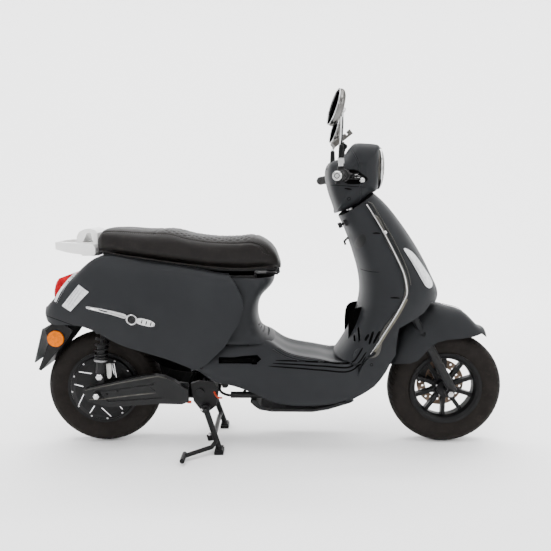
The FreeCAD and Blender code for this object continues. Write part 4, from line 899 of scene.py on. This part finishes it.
def mirror(side, tag):
    """Glass, rim, back, ball joint, boot and nut of a mirror; the left one is turned in about its stem's foot."""
    hx, hy = 202.0, 322.0 * side
    if side > 0:
        px, py = hx + 18 - MIRROR_FOOT_X, hy - MIRROR_FOOT_Y
        cos, sin = math.cos(LEFT_MIRROR_TURN), math.sin(LEFT_MIRROR_TURN)
        hx = MIRROR_FOOT_X + px * cos - py * sin - 18
        hy = MIRROR_FOOT_Y + px * sin + py * cos
    head = Vector((hx, hy, 1216.0))
    tilt, turn = math.radians(16), math.radians(7)
    facing = Vector((-math.cos(tilt) * math.cos(turn), -math.sin(turn), math.sin(tilt) * math.cos(turn)))
    at = (head + facing * 7.2) * MM
    glass_body, arm_body = "mirror_glass_" + tag, "mirror_arm_" + tag
    glass = [(0.0, 0.0520), (0.0016, 0.0518), (0.0020, 0.0490), (0.0023, 0.030), (0.0024, 0.0003)]
    turned("mirror_face_" + tag, at, facing, glass, MIRROR, glass_body, steps=64)
    rim = [(-0.001, 0.0560), (0.0032, 0.0576), (0.0042, 0.0556), (0.0026, 0.0522)]
    hoop("mirror_rim_" + tag, at, facing, rim, CHROME, glass_body)
    back = [(0.007, 0.0500), (0.007, 0.0560), (0.003, 0.0580), (-0.002, 0.0579), (-0.007, 0.0552),
            (-0.012, 0.0480), (-0.0155, 0.0360), (-0.0172, 0.0200), (-0.0176, 0.0004)]
    shell = turned("mirror_shell_" + tag, head * MM, facing, back, SHELL, glass_body, steps=64, auto=40)
    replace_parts(shell, "mirror_head_" + tag)
    ball = [(-0.030, 0.0004), (-0.029, 0.0055), (-0.025, 0.0082), (-0.020, 0.0088), (-0.015, 0.0120),
            (-0.0135, 0.0150)]
    turned("mirror_ball_" + tag, head * MM, facing, ball, CHROME, glass_body, steps=28)
    foot = Vector((MIRROR_FOOT_X, MIRROR_FOOT_Y * side, 1046)) * MM
    boot = [(0.026, 0.0130)]
    for i in range(9):
        z = 0.028 + 0.0048 * i
        boot += [(z, 0.0095 - 0.0002 * i), (z + 0.0022, 0.0112 - 0.00025 * i)]
    boot.append((0.0735, 0.0062))
    turned("mirror_boot_" + tag, foot, (0, 0, 1), boot, GRIP, arm_body, steps=28)
    nut = [(0.010, 0.0118), (0.021, 0.0118), (0.022, 0.0105)]
    turned("mirror_nut_" + tag, foot, (0, 0, 1), nut, CHROME, arm_body, steps=6, auto=20)


grips()
for side, tag in SIDES:
    mirror(side, tag)


# ------------------------------------------------------------------ shield edge, headset and tail details
SHIELD = ["edge_trims", "legshield_inner", "front_apron"]
EDGE_LINE = [(318, 933), (338, 908), (359, 872), (383, 830), (407, 784), (435, 728), (456, 681), (465, 644),
             (468, 617), (462, 594), (434, 536), (402, 478), (386, 447), (370, 418), (352, 388)]


def crest(name, node, line, direction, width, height, mat, body="chassis"):
    """A raised strip along the middle of a panel, found by looking at it along a direction."""
    look = Vector(direction).normalized()
    section = ((-0.5, -0.5), (-0.42, 0.7), (0.0, 1.0), (0.42, 0.7), (0.5, -0.5))
    verts = []
    for p in smooth_line([Vector((x, 0.0, z)) for x, z in line], STRIP_STEPS):
        row = []
        for u, h in section:
            start = (Vector((p.x, p.y + u * width, p.z)) - look * 300) * MM
            ok, loc, _, _ = nodes[node].ray_cast(start, look)
            if ok:
                row.append(loc - look * (h * height * MM))
        if len(row) == len(section):
            verts += row
    return build(name, verts, capped(len(verts) // len(section), len(section)), mat, body, auto=40)


def shield_edge():
    """A thin bright bead, a duller strip beside its lower run, a looped bead at the top and a few fixings."""
    low = [(468, 592), (446, 544), (414, 486), (396, 452), (380, 424), (366, 398)]
    loop = [(340, 925), (354, 916), (371, 886), (396, 842), (424, 790), (452, 732), (472, 684), (482, 640)]
    rivet = [(-0.001, 0.0075), (0.0022, 0.0072), (0.0042, 0.0050), (0.0048, 0.0004)]
    for side, tag in SIDES:
        ribbon("shield_bead_" + tag, SHIELD, EDGE_LINE, 5.0, 3.4, CHROME, side, profile=ROUND, steady=6)
        ribbon("shield_strip_" + tag, SHIELD, low, 10.0, 1.4, OLIVE, side, steady=6)
        ribbon("shield_loop_" + tag, SHIELD, loop, 3.6, 2.2, SATIN, side, profile=ROUND, steady=6)
        found = hit(SHIELD, 393, 820, side)
        if found:
            turned("shield_rivet_" + tag, *found, rivet, BRIGHT, steps=24, auto=None)
        # The ovals paint the shade of sunk fixings in near-black; the seam below is a dark joint.
        for k, (x, z, w) in enumerate([(365, 817, 26), (430, 594, 30)]):
            path = [(x - w / 2, z), (x, z + 1), (x + w / 2, z)]
            ribbon("shield_oval_%s_%d" % (tag, k), BODYWORK, path, 7, 0.5, SHADE_AND_SEAM_BLACK, side, ends=2.0)
        ribbon("shield_seam_" + tag, BODYWORK, [(322, 680), (350, 679), (378, 681)], 2.0, 0.35, SHADE_AND_SEAM_BLACK, side)


def hook_recess():
    """A shallow dark dish behind the bag hook on the rider's side of the shield."""
    ring = [(316 + 15 * math.cos(a) + 5 * math.sin(a), 786 + 27 * math.sin(a))
            for a in [2 * math.pi * k / 12 for k in range(12)]]
    for side, tag in SIDES:
        patch("hook_dish_" + tag, BODYWORK, ring, 0.8, BLACK, side)


def headset_marks():
    """The near-black eye round each lever and the slot and sunk screw below it, painted shade in openings and recesses,
    and a dark shut line.
    """
    names = ["headset_front", "headset_rear"]
    eye = [(243, 1016), (262, 1034), (292, 1036), (318, 1020), (336, 1004), (318, 990), (286, 986), (256, 992)]
    seam = [(206, 984), (240, 982), (290, 978), (330, 976)]
    sunk = [(-0.002, 0.0065), (0.0008, 0.0065), (0.0008, 0.0050), (-0.0012, 0.0048), (-0.0012, 0.0003)]
    for side, tag in SIDES:
        patch("lever_eye_" + tag, names, eye, 0.9, SHADE_AND_SEAM_BLACK, side, "steering")
        ribbon("headset_slot_" + tag, names, [(256, 972), (268, 970), (280, 968)], 7.0, 0.6, SHADE_AND_SEAM_BLACK, side, "steering",
               ends=2.0)
        ribbon("headset_seam_" + tag, names, seam, 1.8, 0.35, SHADE_AND_SEAM_BLACK, side, "steering")
        found = hit(names, 272, 936, side)
        if found:
            turned("headset_screw_" + tag, *found, sunk, SHADE_AND_SEAM_BLACK, "steering", steps=20, auto=None)


def linings():
    """Panels inside the body: near-black sheets painting the shade behind each folded footpeg, in the shield's vents
    and beside the rear tyre, where the last also stands for a black inner fender.
    """
    almond = [(-206, 352), (-184, 374), (-120, 384), (-60, 384), (-34, 372), (-32, 350), (-60, 338), (-130, 334),
              (-192, 332)]
    gusset = [(290, 314), (300, 392), (340, 404), (392, 398), (400, 352), (378, 308), (330, 296)]
    screen = [(285, 400), (292, 520), (360, 540), (420, 530), (422, 470), (400, 410), (340, 392)]
    guard = [(-470, 372), (-486, 412), (-440, 420), (-372, 404), (-250, 398), (-196, 352), (-196, 306), (-260, 292),
             (-350, 298), (-420, 322)]
    for side, tag in SIDES:
        for name, outline, near, far, mat in (("peg_recess_shade_", almond, 138.5, 140.5, SHADE_AND_SEAM_BLACK),
                                              ("shield_gusset_", gusset, 137, 144, PAINT),
                                              ("vent_shade_", screen, 60, 63, SHADE_AND_SEAM_BLACK),
                                              ("splash_shade_panel_", guard, 62, 66, SHADE_AND_SEAM_BLACK)):
            slab(name + tag, outline, near * side, far * side, mat)


def arm_ribs():
    """Raised edges and fixings on the outer faces of the rear arm."""
    arm = ["swingarm"]
    ribs = (("top", [(-684, 240), (-620, 254), (-554, 268), (-484, 281), (-420, 292), (-384, 286)], 5.0, 2.0, SATIN),
            ("low", [(-670, 205), (-603, 208), (-510, 220), (-425, 229)], 6.0, 2.4, SATIN),
            ("web", [(-425, 272), (-444, 252), (-428, 236)], 3.0, 1.4, ARM_BLACK))
    for side, tag in SIDES:
        for name, path, width, height, mat in ribs:
            ribbon("arm_rib_%s_%s" % (name, tag), arm, path, width, height, mat, side, "rear_arm", "black_alloy",
                   profile=ROUND)
        found = [hit(arm, x, z, side) for x, z in ((-567, 236), (-606, 222))]
        heads = [screw_head(f[0], f[1], 5.0 * MM, 3.0 * MM) for f in found if f]
        join_parts("arm_screws_" + tag, heads, BLACK, "rear_arm", "black_steel")


def stand_bolts():
    """Bright pivot bolts on the stand legs."""
    heads = []
    for x, z in ((-258, 166), (-236, 96), (-232, 66)):
        for side in (-1, 1):
            f = hit(["centre_stand"], x, z, side)
            if f:
                heads.append(screw_head(f[0], (0, side, 0), 5.5 * MM, 3.5 * MM))
    join_parts("stand_bolts", heads, BRIGHT, "stand")


def tail_details():
    """A pale bezel beside the red lens with a dark window, beads on the lenses and a seam under the tail."""
    names = ["tail_cover", "cowl_right", "cowl_left", "tail_light"]
    band = [(-716, 664), (-730, 650), (-748, 624), (-768, 592), (-780, 566)]
    bead = [(-708, 660), (-730, 636), (-752, 602), (-774, 562)]
    seam = [(-840, 512), (-806, 508), (-770, 500), (-730, 488), (-690, 476)]
    for side, tag in SIDES:
        ribbon("tail_bezel_" + tag, names, band, 15.0, 1.2, FROST, side, steady=4)
        ribbon("tail_window_" + tag, names, [(-728, 651), (-735, 640), (-742, 630)], 8.0, 2.0, BLACK, side, steady=4)
        ribbon("tail_bead_" + tag, names, bead, 2.6, 2.4, CHROME, side, profile=ROUND, steady=4)
        for k in range(3):
            dx = 8.5 * (k - 1)
            path = [(x + dx, z - dx * 0.7) for x, z in ((-677, 622), (-700, 592), (-727, 556))]
            ribbon("rear_signal_line_%s_%d" % (tag, k), ["turn_signals"] + names, path, 2.0, 0.9, ALLOY, side,
                   slot="chrome_trim", profile=ROUND)
        for k, (dx, dz) in enumerate(((0, 0), (9, -7), (18, -16))):
            path = [(x - dx, z + dz) for x, z in ((478, 738), (507, 694), (536, 646))]
            ribbon("front_signal_line_%s_%d" % (tag, k), ["turn_signals"], path, 2.2, 0.9, ALLOY, side,
                   slot="chrome_trim", profile=ROUND)
        ribbon("tail_seam_" + tag, names, seam, 2.4, 0.4, SHADE_AND_SEAM_BLACK, side)


def tail_reflector():
    """A small round red reflector under the tail, in a dark rim."""
    at, out = Vector((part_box("tail_cover")[0].x + 0.0005, 0, 0.519)), (-1, 0, 0.1)
    lens = [(-0.002, 0.0125), (0.002, 0.0130), (0.0045, 0.0115), (0.006, 0.0060), (0.0062, 0.0004)]
    turned("tail_reflector", at, out, lens, RED, steps=32)
    rim = [(-0.004, 0.0155), (0.0005, 0.0160), (0.002, 0.0140), (0.002, 0.0125)]
    hoop("tail_reflector_rim", at, out, rim, BLACK, "chassis", 32)


crest("fender_crest", "front_fender", [(640, 548), (662, 542), (690, 531), (722, 512)], (0, 0, -1), 22, 2.4,
      CHROME, "front_suspension")
crest("fender_crest_inlay", "front_fender", [(648, 548), (668, 540), (690, 531), (714, 517)], (0, 0, -1), 12, 3.0,
      BLACK, "front_suspension")
crest("apron_spine", "front_apron", [(372, 920), (420, 850), (480, 770), (540, 690), (590, 600)], (-0.86, 0, -0.5),
      16, 2.2, BLACK)
shield_edge()
hook_recess()
headset_marks()
linings()
arm_ribs()
stand_bolts()
tail_details()
tail_reflector()


# ------------------------------------------------------------------ cables, hoses and the phone holder
def leads():
    """Loose leads under the floor and at the bar, and the hoop under the frame."""
    rows = [
        ("motor_lead", [(-560, -104, 246), (-500, -112, 262), (-420, -104, 258), (-340, -100, 226), (-300, -96, 206),
                        (-250, -88, 214), (-205, -84, 226)], 4.2, BLACK, "rear_arm", "grip_rubber"),
        ("motor_lead_sleeve", [(-322, -103, 197), (-311, -104, 190), (-298, -102, 188)], 5.4, ORANGE, "rear_arm"),
        ("stand_lead", [(-214, -96, 226), (-206, -104, 214), (-196, -106, 206), (-184, -102, 204)], 3.4, ORANGE,
         "chassis"),
        ("under_hoop", [(-196, -70, 246), (-190, -92, 226), (-160, -100, 214), (-120, -100, 216), (-100, -92, 228),
                        (-94, -70, 244)], 5.0, STEEL_BLACK, "chassis"),
        ("brake_hose", [(292, -92, 992), (312, -70, 968), (322, -40, 945), (330, -26, 905)], 2.6, GRIP, "steering"),
    ]
    for side, tag in SIDES:
        rows.append(("switch_lead_" + tag, [(232, 172 * side, 1004), (222, 150 * side, 994), (226, 122 * side, 990),
                                            (246, 104 * side, 992)], 2.8, GRIP, "steering"))
    for row in rows:
        cable(*row)


def phone_cradle():
    """The thick pad, neck and clamp that make up the body of the phone holder."""
    lean = Vector((0.80, 0.0, 0.60)).normalized()
    up = Vector((-lean.z, 0.0, lean.x))
    mid = Vector((256, 62, 1153))
    section = ((-30, -6), (-30, 5), (-26, 9), (22, 9), (25, 5), (25, -6), (21, -9), (-26, -9))
    verts = []
    for y, grow in ((24, 0.86), (27, 1.0), (97, 1.0), (100, 0.86)):
        for a, b in section:
            q = mid + lean * (a * grow) + up * (b * grow)
            verts.append(Vector((q.x, y, q.z)) * MM)
    build("phone_pad", verts, capped(4, len(section)), TAUPE, "steering", auto=30)
    cable("phone_neck", [(264, 62, 1144), (270, 62, 1124), (262, 62, 1096)], 9.0, TAUPE, "steering", sides=18)
    knob = [(-0.008, 0.008), (-0.007, 0.0105), (0.007, 0.0105), (0.008, 0.008), (0.0085, 0.0005)]
    turned("phone_knob", Vector((272, 48, 1128)) * MM, (0, -1, 0), knob, BLACK, "steering", steps=20)


leads()
phone_cradle()


# ------------------------------------------------------------------ floor, light and camera
def stage():
    """A pale round floor that curves up into a low wall on every side."""
    flat, bend, top = 4.6, 3.4, 5.2
    line = [(0.4, 0.0), (2.0, 0.0), (flat, 0.0)]
    for k in range(1, 25):
        t = math.pi / 2 * k / 24
        line.append((flat + bend * math.sin(t), bend * (1 - math.cos(t))))
    line.append((flat + bend, top))
    steps = 96
    verts = []
    for r, z in line:
        for k in range(steps):
            a = 2 * math.pi * k / steps
            verts.append((r * math.cos(a), r * math.sin(a), z))
    faces = [f[::-1] for f in rings_to_faces(len(line), steps)]
    faces.append(tuple(range(steps)))
    paper = surface("studio_paper", None, (0.95, 0.95, 0.95), 0.9, 0.0, 0.004, 0.5, 60, 0.0, specular=0.0)
    build("studio_floor", verts, faces, paper, None, auto=60)


def light(name, place, target, size, power):
    """A rectangular lamp aimed at a point."""
    data = bpy.data.lights.new(name, "AREA")
    data.shape = "RECTANGLE"
    data.size, data.size_y = size
    data.energy = power
    obj = bpy.data.objects.new(name, data)
    obj.location = place
    obj.rotation_euler = (Vector(target) - Vector(place)).to_track_quat("-Z", "Y").to_euler()
    bpy.context.scene.collection.objects.link(obj)


def sky():
    """A world that is bright overhead and dim near the horizon, so bright metal shows dark and light bands."""
    world = bpy.data.worlds.new("studio")
    bpy.context.scene.world = world
    world.use_nodes = True
    tree = world.node_tree
    place = tree.nodes.new("ShaderNodeTexCoord")
    split = tree.nodes.new("ShaderNodeSeparateXYZ")
    span = tree.nodes.new("ShaderNodeMapRange")
    span.inputs["From Min"].default_value = -1.0
    span.inputs["From Max"].default_value = 1.0
    ramp = tree.nodes.new("ShaderNodeValToRGB")
    levels = [(0.0, 0.10), (0.46, 0.16), (0.54, 0.30), (0.66, 0.80), (0.80, 1.15), (1.0, 1.25)]
    set_stops(ramp, [(at, (level, level, level * 1.01, 1.0)) for at, level in levels])
    tree.links.new(place.outputs["Generated"], split.inputs["Vector"])
    tree.links.new(split.outputs["Z"], span.inputs["Value"])
    tree.links.new(span.outputs["Result"], ramp.inputs["Fac"])
    tree.links.new(ramp.outputs["Color"], tree.nodes["Background"].inputs["Color"])
    tree.nodes["Background"].inputs["Strength"].default_value = 1.15


stage()
light("overhead", (0.0, -0.1, 4.2), (0, 0.0, 0.4), (5.0, 4.0), 250)
light("key", (-1.8, -3.6, 3.4), (0, 0, 0.6), (2.4, 1.2), 62)
light("front_fill", (3.2, -2.0, 2.4), (0.4, 0, 0.6), (1.4, 2.0), 36)
light("paper_wash", (0.0, 2.2, 5.0), (0.0, 6.4, 1.2), (9.0, 2.5), 900)
sky()

camera_data = bpy.data.cameras.new("photo_camera")
camera_data.sensor_width = 36.0
camera_data.lens = 37.57
camera = bpy.data.objects.new("photo_camera", camera_data)
camera.location = (0.014, -2.150, 0.950)
camera.rotation_euler = (math.radians(82.0), 0.0, 0.0)
bpy.context.scene.collection.objects.link(camera)
bpy.context.scene.camera = camera
